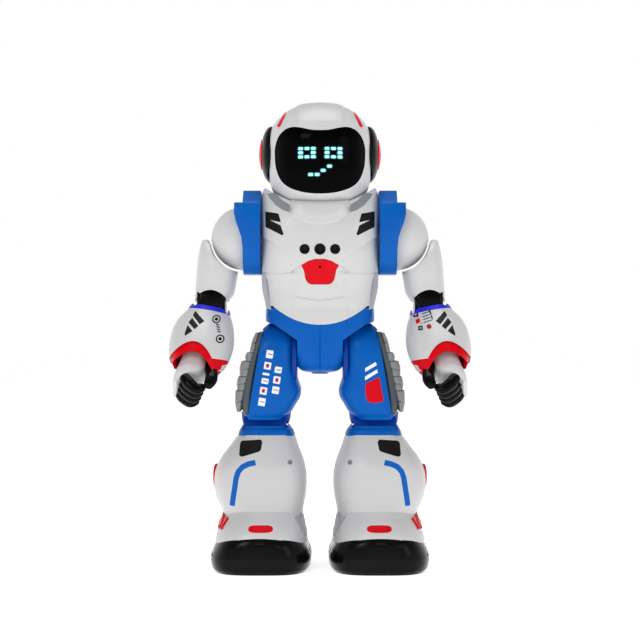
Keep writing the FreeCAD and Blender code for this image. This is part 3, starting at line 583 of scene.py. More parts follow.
MATERIALS = {
    "white": plastic("white_casing", (0.605, 0.605, 0.605), 0.36, coat=0.05, mottle=0.008, edge=0.08),
    "blue": plastic("blue_casing", (0.0005, 0.106, 0.455), 0.32, mottle=0.04, specular=0.10, edge=0.02),
    # Darker copy of the blue casing: painted shade for the knee neck, knee skirt and hip washer, which sit
    # under and between parts.
    "shaded_blue": plastic("blue_casing_painted_shade", (0.001, 0.045, 0.34), 0.36, mottle=0.04, specular=0.10,
                         edge=0.02),
    "band_blue": plastic("band_blue", (0.020, 0.022, 0.66), 0.35, mottle=0.03, specular=0.15, edge=0.02),
    "red": plastic("red_casing", (0.67, 0.0005, 0.008), 0.26, mottle=0.04, specular=0.10, edge=0.0),
    # Darker copy of the red casing: painted shade for the inside of the cuff.
    "shaded_red": plastic("red_cuff_painted_shade", (0.24, 0.002, 0.006), 0.5, mottle=0.06),
    "visor": plastic("visor_gloss", (0.0006, 0.0006, 0.0007), 0.20, mottle=0.10, grain=0.0, specular=0.03,
                     edge=0.0),
    "black_gloss": plastic("black_gloss", (0.0015, 0.0015, 0.0018), 0.18, mottle=0.10, specular=0.10,
                           edge=0.02),
    "black": plastic("black_plastic", (0.012, 0.012, 0.013), 0.42, mottle=0.12, grain=0.06, edge=0.05),
    "sole": plastic("sole_rubber", (0.003, 0.003, 0.0033), 0.20, mottle=0.14, grain=0.08, specular=0.11,
                    edge=0.03),
    "rubber": plastic("roller_rubber", (0.02, 0.02, 0.02), 0.7, mottle=0.15, grain=0.2, edge=0.05),
    "grey": plastic("grey_plastic", (0.235, 0.245, 0.252), 0.42, mottle=0.05, grain=0.08, specular=0.25,
                    edge=0.16),
    "dark_grey": plastic("dark_grey_plastic", (0.070, 0.082, 0.090), 0.36, mottle=0.07, grain=0.08,
                         specular=0.3, edge=0.12),
    "trim": plastic("side_trim_grey", (0.42, 0.43, 0.47), 0.4, mottle=0.04, grain=0.04, edge=0.1),
    "mark_black": plastic("printed_black", (0.008, 0.008, 0.007), 0.45, mottle=0.08, specular=0.12, edge=0.0),
    "mark_white": plastic("printed_white", (0.84, 0.84, 0.84), 0.45, mottle=0.02, edge=0.0),
    "mark_red": plastic("printed_red", (0.67, 0.0005, 0.008), 0.42, mottle=0.04, specular=0.08, edge=0.0),
    "mark_blue": plastic("printed_blue", (0.003, 0.12, 0.50), 0.42, mottle=0.04, specular=0.12, edge=0.0),
    "led": lit("lit_diode", (0.30, 0.93, 0.97), 0.95),
    "halo": lit("diode_glow", (0.010, 0.17, 0.19), 0.35),
    "board": plastic("circuit_board", (0.01, 0.12, 0.05), 0.4, mottle=0.2, grain=0.1),
    "wrap": plastic("battery_wrap", (0.03, 0.10, 0.35), 0.3, mottle=0.08),
    "nylon": plastic("nylon", (0.72, 0.70, 0.64), 0.5, mottle=0.04),
    "brass": metal("brass", (0.78, 0.57, 0.25), 0.3),
    "steel": metal("plated_steel", (0.55, 0.55, 0.56), 0.3),
}
SLOT_MATERIALS = {
    "white_plastic": "white", "blue_plastic": "blue", "red_plastic": "red", "black_gloss": "black_gloss",
    "black_plastic": "black", "grey_plastic": "grey", "sole_rubber": "sole", "rubber": "rubber",
    "led_cyan": "led", "circuit_green": "board", "battery_wrap": "wrap", "gear_nylon": "nylon",
    "brass": "brass", "steel": "steel",
}


def dress_cad_nodes():
    """Gives every carried-over CAD piece its material."""
    for subpart in frame["record"]["subparts"]:
        piece = frame["nodes"][subpart["node"]]
        piece.data.materials.clear()
        piece.data.materials.append(MATERIALS[SLOT_MATERIALS[subpart["material_slot"]]])


def place(piece, body, slot, *nodes):
    """Puts a piece on its body and hides the CAD nodes it stands for; slot is not used."""
    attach(piece, body)
    if nodes:
        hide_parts(*nodes)
    return piece


def place_pair(piece, body, slot, *nodes):
    """Puts a left-hand piece and its mirrored twin on their bodies; every name gets its side in front."""
    base = piece.name
    twin = mirrored(piece, "right_" + base)
    piece.name = "left_" + base
    place(piece, "left_" + body, slot, *["left_" + node for node in nodes])
    place(twin, "right_" + body, slot, *["right_" + node for node in nodes])


def flipped(outline):
    """Outline on the other side of the middle plane."""
    return [(-a, b) for a, b in reversed(outline)]


# ---------------------------------------------------------------- head
HEAD_ROWS = [
    (200.6, -10.0, 10.0, -13.6, 13), (203.6, -15.6, 15.6, -18.2, 17), (208.0, -20.6, 20.6, -23.6, 21),
    (213.4, -24.6, 24.6, -28.0, 26), (221.0, -28.5, 28.5, -32, 30), (232.0, -30.2, 30.2, -34, 33),
    (245.0, -30.4, 30.4, -34, 34), (254.0, -28.6, 28.6, -31, 32.5), (261.0, -24.0, 24.0, -25.4, 28),
    (266.0, -17.6, 17.6, -18.4, 21),
    (268.8, -10.4, 10.4, -10.6, 12), (269.6, -3.0, 3.0, -3.0, 4.0),
]
HEAD_POWER = 2.3
VISOR_POINTS = [
    (0, 251.2), (5.2, 251.5), (10.4, 252.7), (15.6, 253.4), (20.2, 252.0), (23.8, 248.2), (25.7, 243),
    (26.0, 237.5), (25.3, 230.6), (23.2, 224.6), (19.8, 220.4), (14.6, 217.6), (7.6, 215.8), (0, 215.3),
]
VISOR_BACK = -17.0
VISOR_GAP = 0.07
CREST_X = 13.4
SEAM_Y = 6.0
EAR_CENTRE = (0, 2, 240.0)
EAR_R = 16.6
EAR_RIM_X = 28.4
EAR_BULGE = 6.4
LED_ROWS = (240.6, 238.25, 235.9)
LED_COLUMNS = (-11.0, -7.4, -3.8, 4.0, 7.65, 11.3)
EYE_CENTRES = (-7.4, 7.65)
SMILE = [(-5.3, 225.9), (-1.6, 225.9), (1.8, 228.2), (5.4, 230.6)]


def crest(points, normals):
    """Raised band over the crown, from the brow to the nape."""
    x, y, z = points.T
    height = ease((CREST_X - np.abs(x)) / 1.2 + 0.5)
    low = np.where(y < 0, 252.0, 226.0)
    edge = np.exp(-((np.abs(x) - CREST_X - 0.9) / 0.7) ** 2)
    return (0.4 * height - 0.15 * edge) * ease((z - low) / 5)


def head_seam(points, normals):
    """Parting line between the front and rear halves."""
    return -0.45 * ease(1 - np.abs(points[:, 1] - SEAM_Y) / 0.6)


def make_head():
    outline = VISOR_POINTS + flipped(VISOR_POINTS)[1:-1]
    outline = smooth_outline(outline, 6)
    casing = loft("head_casing", HEAD_ROWS, MATERIALS["white"], HEAD_POWER, 150, 220, 1.6, 0.35)
    sculpt(casing, crest, head_seam)
    cut(casing, outline, high=VISOR_BACK)
    place(casing, "head", "white_plastic", "head_front_shell", "head_rear_shell")

    rows = [(z, a + 0.5, b - 0.5, c + 0.5, d - 0.5) for z, a, b, c, d in HEAD_ROWS[1:-2]]
    visor = loft("visor_lens", rows, MATERIALS["visor"], HEAD_POWER, 130, 220, 0.5, 0.5)
    combine(visor, prism(shrink(outline, VISOR_GAP), "Y", -FAR, VISOR_BACK + 0.5), "INTERSECT")
    place(visor, "head", "black_gloss", "visor")
    lens = Surface(visor)
    eyes = [(x, z) for x in LED_COLUMNS for z in LED_ROWS]
    dots = [(x, z) for x, z in eyes if z != LED_ROWS[1] or x not in EYE_CENTRES]
    for number, (x, z) in enumerate(dots + SMILE):
        for part, half_x, half_z, lift in (("glow", 1.75, 1.15, 0.03), ("diode", 1.22, 0.72, 0.06)):
            corners = rectangle(x - half_x, z - half_z, x + half_x, z + half_z)
            dot = inlay(f"face_{part}_{number:02d}", rounded_outline(corners, half_z, 4), lens,
                        MATERIALS["led" if part == "diode" else "halo"], lift, 0, 0.2, 0.6)
            place(dot, "head", "led_cyan", *(["face_leds"] if number == 0 and part == "diode" else []))

    brow = Surface(casing)
    lamp = rounded_outline([(19.4, 264.2), (20.8, 262.8), (24.9, 254.5), (23.0, 253.9), (20.3, 260.0)], 0.8)
    for side, shape in (("left", lamp), ("right", flipped(lamp))):
        piece = inlay(f"brow_lamp_{side}", shape, brow, MATERIALS["red"], 0.28, 0.3, 0.8, 0.5)
        place(piece, "head", "red_plastic", *(["head_light_inserts"] if side == "left" else []))

    dome = [(EAR_RIM_X + EAR_BULGE * math.sin(t), EAR_R * math.cos(t)) for t in np.linspace(0, 0.98, 24)]
    disc_profile = [(26.0, EAR_R), (EAR_RIM_X - 0.6, EAR_R)] + dome + [(dome[-1][0] - 0.6, dome[-1][1] - 0.2)]
    cap_x, cap_r = dome[-1]
    cap_profile = rounded_profile([(cap_x - 1.2, cap_r - 0.3), (cap_x + 0.5, cap_r - 0.3),
                                   (cap_x + 0.8, cap_r - 1.2), (cap_x + 1.7, cap_r * 0.5),
                                   (cap_x + 2.0, 0.4)], 0.5)
    for side in ("left", "right"):
        disc = lathe(f"ear_disc_{side}", disc_profile, EAR_CENTRE, "X", MATERIALS["black_gloss"], 128)
        cap = lathe(f"ear_cap_{side}", cap_profile, EAR_CENTRE, "X", MATERIALS["red"], 128)
        if side == "right":
            disc, cap = swap_side(disc), swap_side(cap)
        place(disc, "head", "black_gloss", *(["ear_discs"] if side == "left" else []))
        place(cap, "head", "red_plastic", *(["ear_caps"] if side == "left" else []))


# ---------------------------------------------------------------- torso
TORSO_ROWS = [
    (139.2, -27.0, 27.0, -24.2, 20.5), (144.0, -29.2, 29.2, -24.4, 21.0), (149.4, -31.0, 31.0, -24.3, 21.5),
    (155.0, -32.2, 32.2, -25.2, 22.5), (162.0, -33.6, 33.6, -26.8, 24.5), (172.0, -34.0, 34.0, -29.2, 27),
    (184.0, -33.9, 33.9, -31.2, 29), (196.0, -33.9, 33.9, -30.4, 29.5), (206.0, -34.4, 34.4, -26.5, 28.5),
    (214.0, -33.8, 33.8, -20.6, 25), (219.0, -32.4, 32.4, -15, 20), (221.4, -30.0, 30.0, -10, 14),
]
TORSO_POWER = 3.2
BELLY_ARC = [(float(x), 140.6 + 0.01048 * abs(float(x)) ** 2.1) for x in np.linspace(-27.2, 27.2, 49)]
CHEST_EDGE = [(-36, 170.4), (-17.5, 169.9), (-10.8, 174.6), (0, 177.0), (10.8, 174.6), (17.5, 169.9),
              (36, 170.4)]
BREAST = CHEST_EDGE + [(36, 240), (-36, 240)]
BADGE_HALF = [(10.8, 174.4), (9.9, 173.0), (9.1, 171.4), (8.6, 168.4), (8.1, 166.2), (6.9, 164.4),
              (5.1, 163.6)]
BADGE = ([(-6.6, 176.9), (-2.6, 178.0), (2.6, 178.0), (6.6, 176.9)] + BADGE_HALF
         + [(-x, z) for x, z in reversed(BADGE_HALF)])
BADGE_GAP = 0.06
COLLAR = [(-16.2, 212), (-15.6, 203.6), (-8.4, 199.4), (0, 197.9), (8.4, 199.4), (15.6, 203.6), (16.2, 212)]
# Outline of the grey patch beside the neck: painted shade for the shaded recess there.
NECK_SHADE_WEDGE = [(-30.6, 216.4), (-25.6, 216.4), (-21.6, 212.0), (-17.1, 209.2), (-16.9, 204.6), (-20.8, 205.8),
              (-25.4, 209.0), (-29.0, 213.4)]
VENT = [(-31.5, 205.7), (-23.7, 204.1), (-22.3, 199.0), (-28.8, 200.5), (-22.4, 197.2), (-20.7, 192.1),
        (-21.5, 191.4), (-31.2, 196.6)]
NECK_BOWL = [(198.4, 0.3), (198.4, 11.0), (201.0, 17.4), (206.0, 23.9), (212.0, 28.9), (219.0, 32.0),
             (230.0, 36.0), (230.0, 0.3)]
WALL = 2.2
CAVITY_ROWS = [
    (137.0, -27.0, 27.0, -24.2, 20.5), (149.4, -31.0, 31.0, -24.3, 21.5), (162.0, -33.6, 33.6, -26.8, 24.5),
    (172.0, -34.0, 34.0, -29.2, 27), (184.0, -33.9, 33.9, -31.2, 29), (195.0, -33.9, 33.9, -30.4, 29.4),
]
DOOR_OPENING = rectangle(-17.1, 159.9, 17.1, 192.1)
SWITCH_OPENING = rectangle(9.6, 152.8, 19.4, 156.2)
SOCKET_OPENING = rectangle(-17.1, 151.4, -8.9, 157.6)
SCREW_SPOTS = [(28.0, 207.0), (-28.0, 207.0), (25.5, 157.0), (-25.5, 157.0)]
SCREW_BORE_R = 2.6
SENSORS = [(-8.7, 183.6, 2.8), (0, 183.6, 3.15), (8.6, 183.6, 2.8)]


def chest_planes(points, normals):
    """Broad planes of the chest: fuller breast, hollow under the diagonal creases and a flat belly."""
    x, y, z = points.T
    front = ease(-normals[:, 1] / 0.4)
    crease = 176.4 + (np.abs(x) - 12) * 0.72
    below = ease((crease - z) / 1.4 + 0.5) * ease((z - 169.5) / 1.5) * ease((np.abs(x) - 10) / 3)
    waist = ease((170.0 - z) / 5) * ease((z - 152) / 8) * ease((np.abs(x) - 12) / 4)
    return front * (-1.0 * below - 0.7 * waist)


def collar_apron(points, normals):
    """Apron under the chin, fuller towards its upper edge."""
    plane, weight = facing(points, normals, "front")
    signed = np.where(inside(plane, COLLAR), 1, -1) * distance_to_line(plane, COLLAR, True)
    return weight * ease(signed / 4.0) * np.clip((plane[:, 1] - 198.0) * 0.26, 0, 2.6)


def make_torso():
    casing = loft("chest_casing", TORSO_ROWS, MATERIALS["white"], TORSO_POWER, 170, 300, 0.4, 0.6)
    belly_low = [(-13.5, 157.0), (-7, 155.5), (0, 154.9), (7, 155.5), (13.8, 157.0)]
    lines = [groove(belly_low, 0.7, 0.6), groove(CHEST_EDGE, 0.6, 0.55)]
    for flip in (lambda line: line, flipped):
        lines.append(groove(flip([(-31, 189.7), (-22, 183.6), (-11.9, 176.4)]), 0.9, 0.3))
        lines.append(groove(flip([(-9.9, 164.7), (-12.4, 159.2)]), 0.7, 0.4))
        lines.append(groove(flip([(-16.0, 152.6), (-16.6, 144.0)]), 0.6, 0.35))
        lines.append(groove(flip([(-16.2, 209.0), (-15.9, 203.6)]), 0.5, 0.9))
    sculpt(casing, raised(BREAST, 1.0, 0.9), chest_planes, *lines)
    sculpt(casing, collar_apron)
    sculpt(casing, raised(COLLAR + [(15, 230), (-15, 230)], 0.7, 0.9),
           groove([(0, 150), (0, 217)], 0.5, 0.25, "back"))
    combine(casing, lathe("tool", NECK_BOWL, (0, 0, 0), "Z", MATERIALS["white"], 200))
    under_front = [(-60, 120), (60, 120), (60, 151.0)] + list(reversed(BELLY_ARC)) + [(-60, 151.0)]
    cut(casing, under_front, high=0)
    cut(casing, rectangle(-60, 120, 60, 149.0), low=-0.5)
    trim = [(31.6, 171.2), (40.0, 171.2), (40.0, 140), (26.6, 140)]
    for outline in (trim, flipped(trim)):
        cut(casing, outline)
    cavity = [(z, a + WALL, b - WALL, c + WALL, d - WALL) for z, a, b, c, d in CAVITY_ROWS]
    combine(casing, loft("tool", cavity, MATERIALS["white"], TORSO_POWER, 60, 160, 0, 0.4))
    for opening in (DOOR_OPENING, SWITCH_OPENING, SOCKET_OPENING):
        cut(casing, rounded_outline(opening, 0.8, 3), low=5)
    for x, z in SCREW_SPOTS:
        cut(casing, circle(x, z, SCREW_BORE_R, 32), low=15.5)
    for x, z, radius in SENSORS:
        cut(casing, circle(x, z, radius + 0.12), high=-24)
    cut(casing, shrink(rounded_outline(BADGE, 0.7, 3), -BADGE_GAP), high=-20)
    place(casing, "torso", "white_plastic", "chest_cover", "back_cover")

    rows = [(z, a - 0.1, b + 0.1, c + 0.6, d - 0.6) for z, a, b, c, d in TORSO_ROWS[2:6]]
    rows[0] = (149.2,) + rows[0][1:]
    rows[-1] = (171.0,) + rows[-1][1:]
    for side, outline in (("left", trim), ("right", flipped(trim))):
        piece = loft(f"side_trim_{side}", rows, MATERIALS["trim"], TORSO_POWER, 50, 300, 0.2, 0.2)
        sculpt(piece, *[groove([(y, 168), (y, 150)], 0.8, 0.5, side) for y in (-10, 9)])
        combine(piece, prism(outline, "Y", -FAR, FAR), "INTERSECT")
        place(piece, "torso", "grey_plastic", *(["side_trims"] if side == "left" else []))
    make_chest_details()


def make_chest_details():
    base = loft("tool", TORSO_ROWS, MATERIALS["white"], TORSO_POWER, 120, 240, 0.4, 0.6)
    sculpt(base, raised(BREAST, 1.0, 0.9))
    chest = Surface(base)
    badge = inlay("chest_badge_plate", rounded_outline(BADGE, 0.7, 3), chest, MATERIALS["red"], 0.15, 0.6,
                  2.4, holes=[circle(0, 173.6, 0.75, 20)])
    place(badge, "torso", "red_plastic", "chest_badge")
    for number, (x, z, radius) in enumerate(SENSORS):
        centre = (x, chest.project((x, -200, z), (0, 1, 0))[0][1], z)
        profile = rounded_profile([(2.6, radius), (-0.1, radius), (-0.35, radius - 0.4), (0.15, radius - 0.9),
                                   (0.35, 0.3)], 0.2)
        lens = lathe(f"sensor_lens_{number}", profile, centre, "Y", MATERIALS["black_gloss"], 64)
        place(lens, "torso", "black_gloss", *(["sensor_lenses"] if number == 0 else []))
    for side, flip in (("right", lambda shape: shape), ("left", flipped)):
        mark = inlay(f"chest_vent_mark_{side}", rounded_outline(flip(VENT), 0.35, 3), chest,
                     MATERIALS["mark_black"], 0.05, 0, 0.3)
        place(mark, "torso", "black_plastic")
        # Grey patch beside the neck: painted shade for the recess there.
        wedge = inlay(f"neck_painted_shade_{side}", rounded_outline(flip(NECK_SHADE_WEDGE), 0.8, 3), chest,
                      MATERIALS["grey"], 0.05, 0, 0.3)
        place(wedge, "torso", "grey_plastic")
    bpy.data.objects.remove(base)


# ---------------------------------------------------------------- pelvis
PELVIS_ROWS = [
    (112.9, -5.0, 5.0, -10, 9.5), (113.3, -8.6, 8.6, -13, 12), (114.3, -11.2, 11.2, -15.6, 14.5),
    (115.8, -12.8, 12.8, -17.8, 16.5), (118.0, -14.4, 14.4, -19.8, 18.5), (122.0, -15.6, 15.6, -21.6, 20),
    (132.0, -24.0, 24.0, -23.0, 22), (139.0, -30.6, 30.6, -23.2, 22.4), (145.0, -31.6, 31.6, -23.0, 22.4),
    (150.0, -31.4, 31.4, -22.4, 20.8),
]
HIP_Z = 122.0
BLOCK_X = 13.1


def make_pelvis():
    casing = loft("pelvis_casing", PELVIS_ROWS, MATERIALS["blue"], 3.4, 110, 240, 0.8, 0.5)
    sculpt(casing, *[groove([(0, 100), (0, 152)], 0.5, 0.5, side) for side in ("front", "back")],
           *[groove([(x, 152), (x, 139)], 0.6, 0.25) for x in (-26.6, 26.6)])
    slope = [(BLOCK_X, 131.6), (20.0, 136.5), (26.6, 140.8), (31.0, 142.3), (50, 142.6), (50, 80),
             (BLOCK_X, 80)]
    for outline in (slope, flipped(slope)):
        cut(casing, outline)
    for low, high in ((BLOCK_X, 60), (-60, -BLOCK_X)):
        dome = lathe("tool", [(low, 20.0), (high, 20.0)], (0, 0, HIP_Z), "X", MATERIALS["blue"], 128)
        combine(casing, dome)
    cut(casing, rectangle(-11.2, -14.0, 11.2, 13.6), 115.6, 160, "Z")
    upper_well = [(z, -28.6, 28.6, -20.6, 18.4) for z in (143.4, 160.0)]
    combine(casing, loft("tool", upper_well, MATERIALS["blue"], 3.4, 6, 120, 0, 0))
    place(casing, "torso", "blue_plastic", "pelvis_front_shell", "pelvis_rear_shell")


# ---------------------------------------------------------------- arms
SHOULDER_Z = 194.0
BALL = (44.8, 0, 190.7)
BALL_R = 18.65
ELBOW = (63.2, 0, 153.2)
SWEEP_R = 14.9
CHEEK_IN_X, CHEEK_OUT_X = 54.3, 71.7
SLEEVE_ROWS = [
    (154.4, 53.1, 72.9, -12.6, 12.8), (159.0, 50.2, 72.8, -13.6, 13.8), (166.0, 48.8, 72.3, -14.4, 14.6),
    (172.0, 48.0, 71.9, -14.8, 14.8), (178.0, 50.0, 71.4, -13.6, 13.6), (183.0, 55.0, 70.6, -10.6, 10.6),
    (186.6, 61.0, 69.8, -7.0, 7.0), (188.6, 64.4, 69.2, -5.2, 5.2),
]
BARREL = [(-8.3, 1.0), (-8.3, 10.6), (-6.6, 12.3), (6.6, 12.3), (8.3, 10.6), (8.3, 1.0)]
SLEEVE_ARCH = [(-8.9, 152.0), (-7.0, 157.8), (0, 160.8), (7.0, 158.2), (9.1, 152.0), (0, 140.0)]
FORWARD = math.radians(-36)
OUTWARD = math.radians(-10)
YOKE_SIDE = [(-8.0, 218.6), (8.0, 218.6), (19.0, 210.8), (23.4, 203.0), (24.4, 194.0), (23.0, 183.0),
             (18.0, 174.4), (11.0, 169.6), (-11.0, 169.6), (-18.0, 174.4), (-23.0, 183.0), (-24.4, 194.0),
             (-23.4, 203.0), (-20.4, 210.8)]
YOKE_X = (34.2, 49.4)
HOOD_EDGE = [(44.3, 150), (60, 150), (60, 206.5), (49.2, 204.0), (48.3, 200.2), (46.6, 195.4), (45.0, 190.6),
             (44.4, 185.0)]
HOOD_TOP = (44.5, 210.9)


def bevelled_slab(name, outline, low, high, bevel, material):
    """Plate across X with a (y, z) outline and rounded rims."""
    slab = prism(outline, "X", low, high, name)
    slab.data.materials[0] = material
    modifier = slab.modifiers.new("rim", "BEVEL")
    modifier.width = bevel * MM
    modifier.segments = 4
    modifier.limit_method = "ANGLE"
    modifier.angle_limit = math.radians(50)
    graph = bpy.context.evaluated_depsgraph_get()
    mesh = bpy.data.meshes.new_from_object(slab.evaluated_get(graph), depsgraph=graph)
    slab.modifiers.clear()
    slab.data = mesh
    shade(slab, 24)
    return slab


def shoulder_pieces():
    side = rounded_outline(YOKE_SIDE, 2.4, 5)
    yoke = bevelled_slab("yoke", side, *YOKE_X, 0.9, MATERIALS["blue"])
    cut(yoke, HOOD_EDGE)
    cut(yoke, rectangle(*HOOD_TOP, 60, 230))
    combine(yoke, ball("tool", BALL, BALL_R + 0.15, count=128))
    plug = lathe("tool", [(34.3, 19.0), (39.4, 19.0)], (0, 0, SHOULDER_Z), "X", MATERIALS["blue"], 64)
    combine(yoke, plug, "UNION")
    sphere = ball("shoulder_sphere", BALL, BALL_R, MATERIALS["white"], 144)
    cut(sphere, rectangle(10, 150, 39.6, 230))
    cut(sphere, rectangle(46, 150, 70, 189.1), -4.4, 4.4)
    return yoke, sphere


def sleeve_pieces():
    sleeve = loft("sleeve", SLEEVE_ROWS, MATERIALS["white"], 2.5, 90, 160, 0.6, 1.6)
    cut(sleeve, circle(BALL[0], BALL[2], BALL_R + 0.85, 120), -40, 40)
    sweep = [(CHEEK_IN_X, SWEEP_R), (CHEEK_OUT_X, SWEEP_R)]
    combine(sleeve, lathe("tool", sweep, ELBOW, "X", MATERIALS["white"], 128))
    opening = smooth_outline([(ELBOW[0] + x, z) for x, z in SLEEVE_ARCH], 8)
    cut(sleeve, opening, -40, 40)
    for low, high in ((-40, -9.0), (9.0, 40)):
        cut(sleeve, rectangle(40, 140, 90, 156.8), low, high)
    barrel = lathe("elbow_barrel", rounded_profile(BARREL, 1.6), ELBOW, "X", MATERIALS["black_gloss"])
    stem = loft("tool", [(153.0, 56.4, 70.0, -8.6, 8.6), (167.4, 56.8, 69.6, -7.6, 7.6)],
                MATERIALS["black_gloss"], 4.0, 12, 64, 0.2, 0.2)
    combine(barrel, stem, "UNION")
    return sleeve, barrel


def forearm_matrix():
    turn = Matrix.Rotation(OUTWARD, 4, "Y") @ Matrix.Rotation(FORWARD, 4, "X")
    return Matrix.Translation(Vector(ELBOW)) @ turn


GAUNTLET_ROWS = [
    (-46.4, -14.3, 16.0, -13.2, 13.2), (-42.3, -15.8, 17.3, -15.0, 15.0), (-37.3, -17.0, 18.4, -16.1, 16.1),
    (-30.0, -17.7, 19.0, -16.5, 16.5), (-25.0, -17.4, 19.0, -16.1, 16.1), (-17.4, -16.0, 17.7, -14.8, 14.8),
    (-10.8, -13.8, 14.7, -13.2, 13.2), (-7.4, -12.2, 12.8, -12.2, 12.2), (-5.4, -11.3, 11.7, -11.6, 11.6),
]
BAND_ROWS = [(-6.6, -12.2, 12.7, -12.1, 12.1), (-5.0, -11.7, 12.1, -11.8, 11.8),
             (-3.8, -11.2, 11.5, -11.5, 11.5)]
CUFF_ROWS = [
    (-49.2, -12.4, 13.4, -12.2, 12.2), (-47.4, -13.5, 14.4, -13.4, 13.2), (-44.0, -15.0, 15.8, -14.8, 14.4),
    (-39.0, -16.7, 17.2, -15.6, 15.4), (-34.0, -17.2, 17.6, -15.6, 15.4), (-25.0, -16.8, 17.2, -14.9, 14.8),
]
CUFF_HOLLOW = [
    (-54, -10.8, 11.8, -10.6, 10.6), (-48, -11.2, 12.2, -11.0, 11.0), (-36, -14.4, 14.8, -13.0, 13.0),
    (-20, -14.6, 15.0, -12.8, 12.8),
]
GAUNTLET_HOLLOW = [
    (-52, -12.9, 13.9, -12.2, 12.2), (-44, -14.2, 15, -13.4, 13.4), (-30, -15.6, 16, -13.9, 13.9),
    (-24, -14, 14.4, -12.6, 12.6),
]
PALM_ROWS = [
    (-62.6, 8.4, 11.5, -8.4, 8.6), (-58.6, 4.6, 12.0, -10.6, 10.6), (-55.0, -3.2, 11.8, -11.2, 11.0),
    (-50.0, -5.8, 10.8, -10.6, 10.0), (-36.0, -5.2, 9.4, -9.4, 8.8),
]
RIM_SLOPE = 0.6
CUFF_TOP = (3.5, -30.2, 14.4, 15.4)
CUFF_OPENING = (3.0, -37.4, 13.0, 12.0)
ROUND = 2.15


def cuff_arch(middle, top, half, drop):
    """Cutter under an arch over the hand: x of its middle, z of its top, half width and fall over that."""
    line = [(middle + u * half, top - drop * u * u) for u in np.linspace(-1.25, 1.25, 41).tolist()]
    return prism(line + [(middle + 1.25 * half, -80), (middle - 1.25 * half, -80)], "Y", -40, -1)


def level_rims(piece):
    """Slides a forearm casing along itself so that its rims lie level when the arm hangs at rest."""
    points = points_of(piece)
    points[:, 2] += RIM_SLOPE * points[:, 1]
    set_points(piece, points)
    shade(piece)
    return piece


def forearm_pieces():
    white = MATERIALS["white"]
    gauntlet = loft("gauntlet_casing", GAUNTLET_ROWS, white, ROUND, 100, 180, 0.4, 0.3)
    combine(gauntlet, loft("tool", GAUNTLET_HOLLOW, white, ROUND, 20, 96, 0, 0.5))
    combine(gauntlet, cuff_arch(*CUFF_TOP))
    band = loft("band", BAND_ROWS, MATERIALS["band_blue"], ROUND, 12, 180, 0.2, 0.4)
    cuff = loft("cuff", CUFF_ROWS, MATERIALS["red"], ROUND, 70, 180, 0.9, 0.4)
    combine(cuff, loft("tool", CUFF_HOLLOW, white, ROUND, 24, 96, 0, 0))
    combine(cuff, cuff_arch(*CUFF_OPENING))
    # Dark red ring inside the cuff: painted shade seen through the cuff opening.
    cuff_shade_ring = loft("cuff_shade_ring", [(-31.0, -15.4, 15.8, -13.8, 13.8), (-29.6, -15.4, 15.8, -13.8, 13.8)],
                  MATERIALS["shaded_red"], ROUND, 6, 120, 0.2, 0.2)
    for piece in (gauntlet, band, cuff, cuff_shade_ring):
        level_rims(piece)
    barrel_room = lathe("tool", [(-10.4, 12.75), (10.0, 12.75)], (0, 0, 0), "X", white, 96)
    combine(gauntlet, barrel_room, keep_tool=True)
    combine(band, barrel_room)
    palm = loft("palm_casing", PALM_ROWS, white, 2.8, 60, 120, 1.2, 0.5)
    pieces = [gauntlet, band, cuff, cuff_shade_ring, palm] + hand_digits()
    matrix = forearm_matrix()
    for piece in pieces:
        transformed(piece, matrix)
    return pieces


def sausage(name, path, radii, flatten, material, steps=14, count=40):
    """Rounded finger along a path in the XZ plane, flattened across Y."""
    path = [np.array(p, float) for p in path]
    points, spine, widths = [], [], []
    for i in range(len(path) - 1):
        near = path[max(i - 1, 0)], path[i], path[i + 1], path[min(i + 2, len(path) - 1)]
        for k in range(steps):
            t = k / steps
            spine.append(catmull_rom(*near, t))
            widths.append(radii[i] * (1 - t) + radii[i + 1] * t)
    spine.append(path[-1])
    widths.append(radii[-1])
    start, end = spine[0] - spine[1], spine[-1] - spine[-2]
    start, end = start / np.linalg.norm(start), end / np.linalg.norm(end)
    turns = [math.radians(a) for a in (85, 68, 50, 34, 17)]
    head = [(spine[0] + start * widths[0] * math.sin(a), widths[0] * math.cos(a)) for a in turns]
    tail = [(spine[-1] + end * widths[-1] * math.sin(a), widths[-1] * math.cos(a)) for a in reversed(turns)]
    stations = head + list(zip(spine, widths)) + tail
    for i, (centre, radius) in enumerate(stations):
        ahead = stations[min(i + 1, len(stations) - 1)][0] - stations[max(i - 1, 0)][0]
        ahead = ahead / np.linalg.norm(ahead)
        across = np.array([0.0, 1.0, 0.0])
        up = np.cross(across, ahead)
        up = up / np.linalg.norm(up)
        for j in range(count):
            angle = 2 * math.pi * j / count
            c, s = math.cos(angle), math.sin(angle)
            c = math.copysign(abs(c) ** 0.8, c)
            s = math.copysign(abs(s) ** 0.8, s)
            points.append(centre + up * radius * s + across * radius * c * flatten)
    points += [stations[0][0], stations[-1][0]]
    piece = new_piece(name, np.array(points), tube_faces(len(stations), count), material, 60)
    volume = sum(p.center.dot(p.normal) * p.area for p in piece.data.polygons)
    if volume < 0:
        piece.data.flip_normals()
    return piece


def hand_digits():
    digits = []
    for i in range(4):
        y = (i - 1.5) * 4.9
        drift = (i - 1.5) * 0.9
        path = [(x + drift, y, z) for x, z in ((6.8, -59.6), (3.8, -63.0), (-0.6, -65.6), (-3.4, -64.6))]
        digits.append(sausage(f"finger_{i + 1}", path, [3.0, 3.5, 3.2, 2.6], 0.82, MATERIALS["black_gloss"]))
    thumb = [(-5.8, -5.6, -46.8), (-8.4, -7.2, -52.4), (-9.4, -8.4, -58.2), (-8.6, -9.2, -62.8)]
    digits.append(sausage("thumb", thumb, [2.6, 3.5, 3.6, 2.8], 0.9, MATERIALS["black_gloss"]))
    return digits


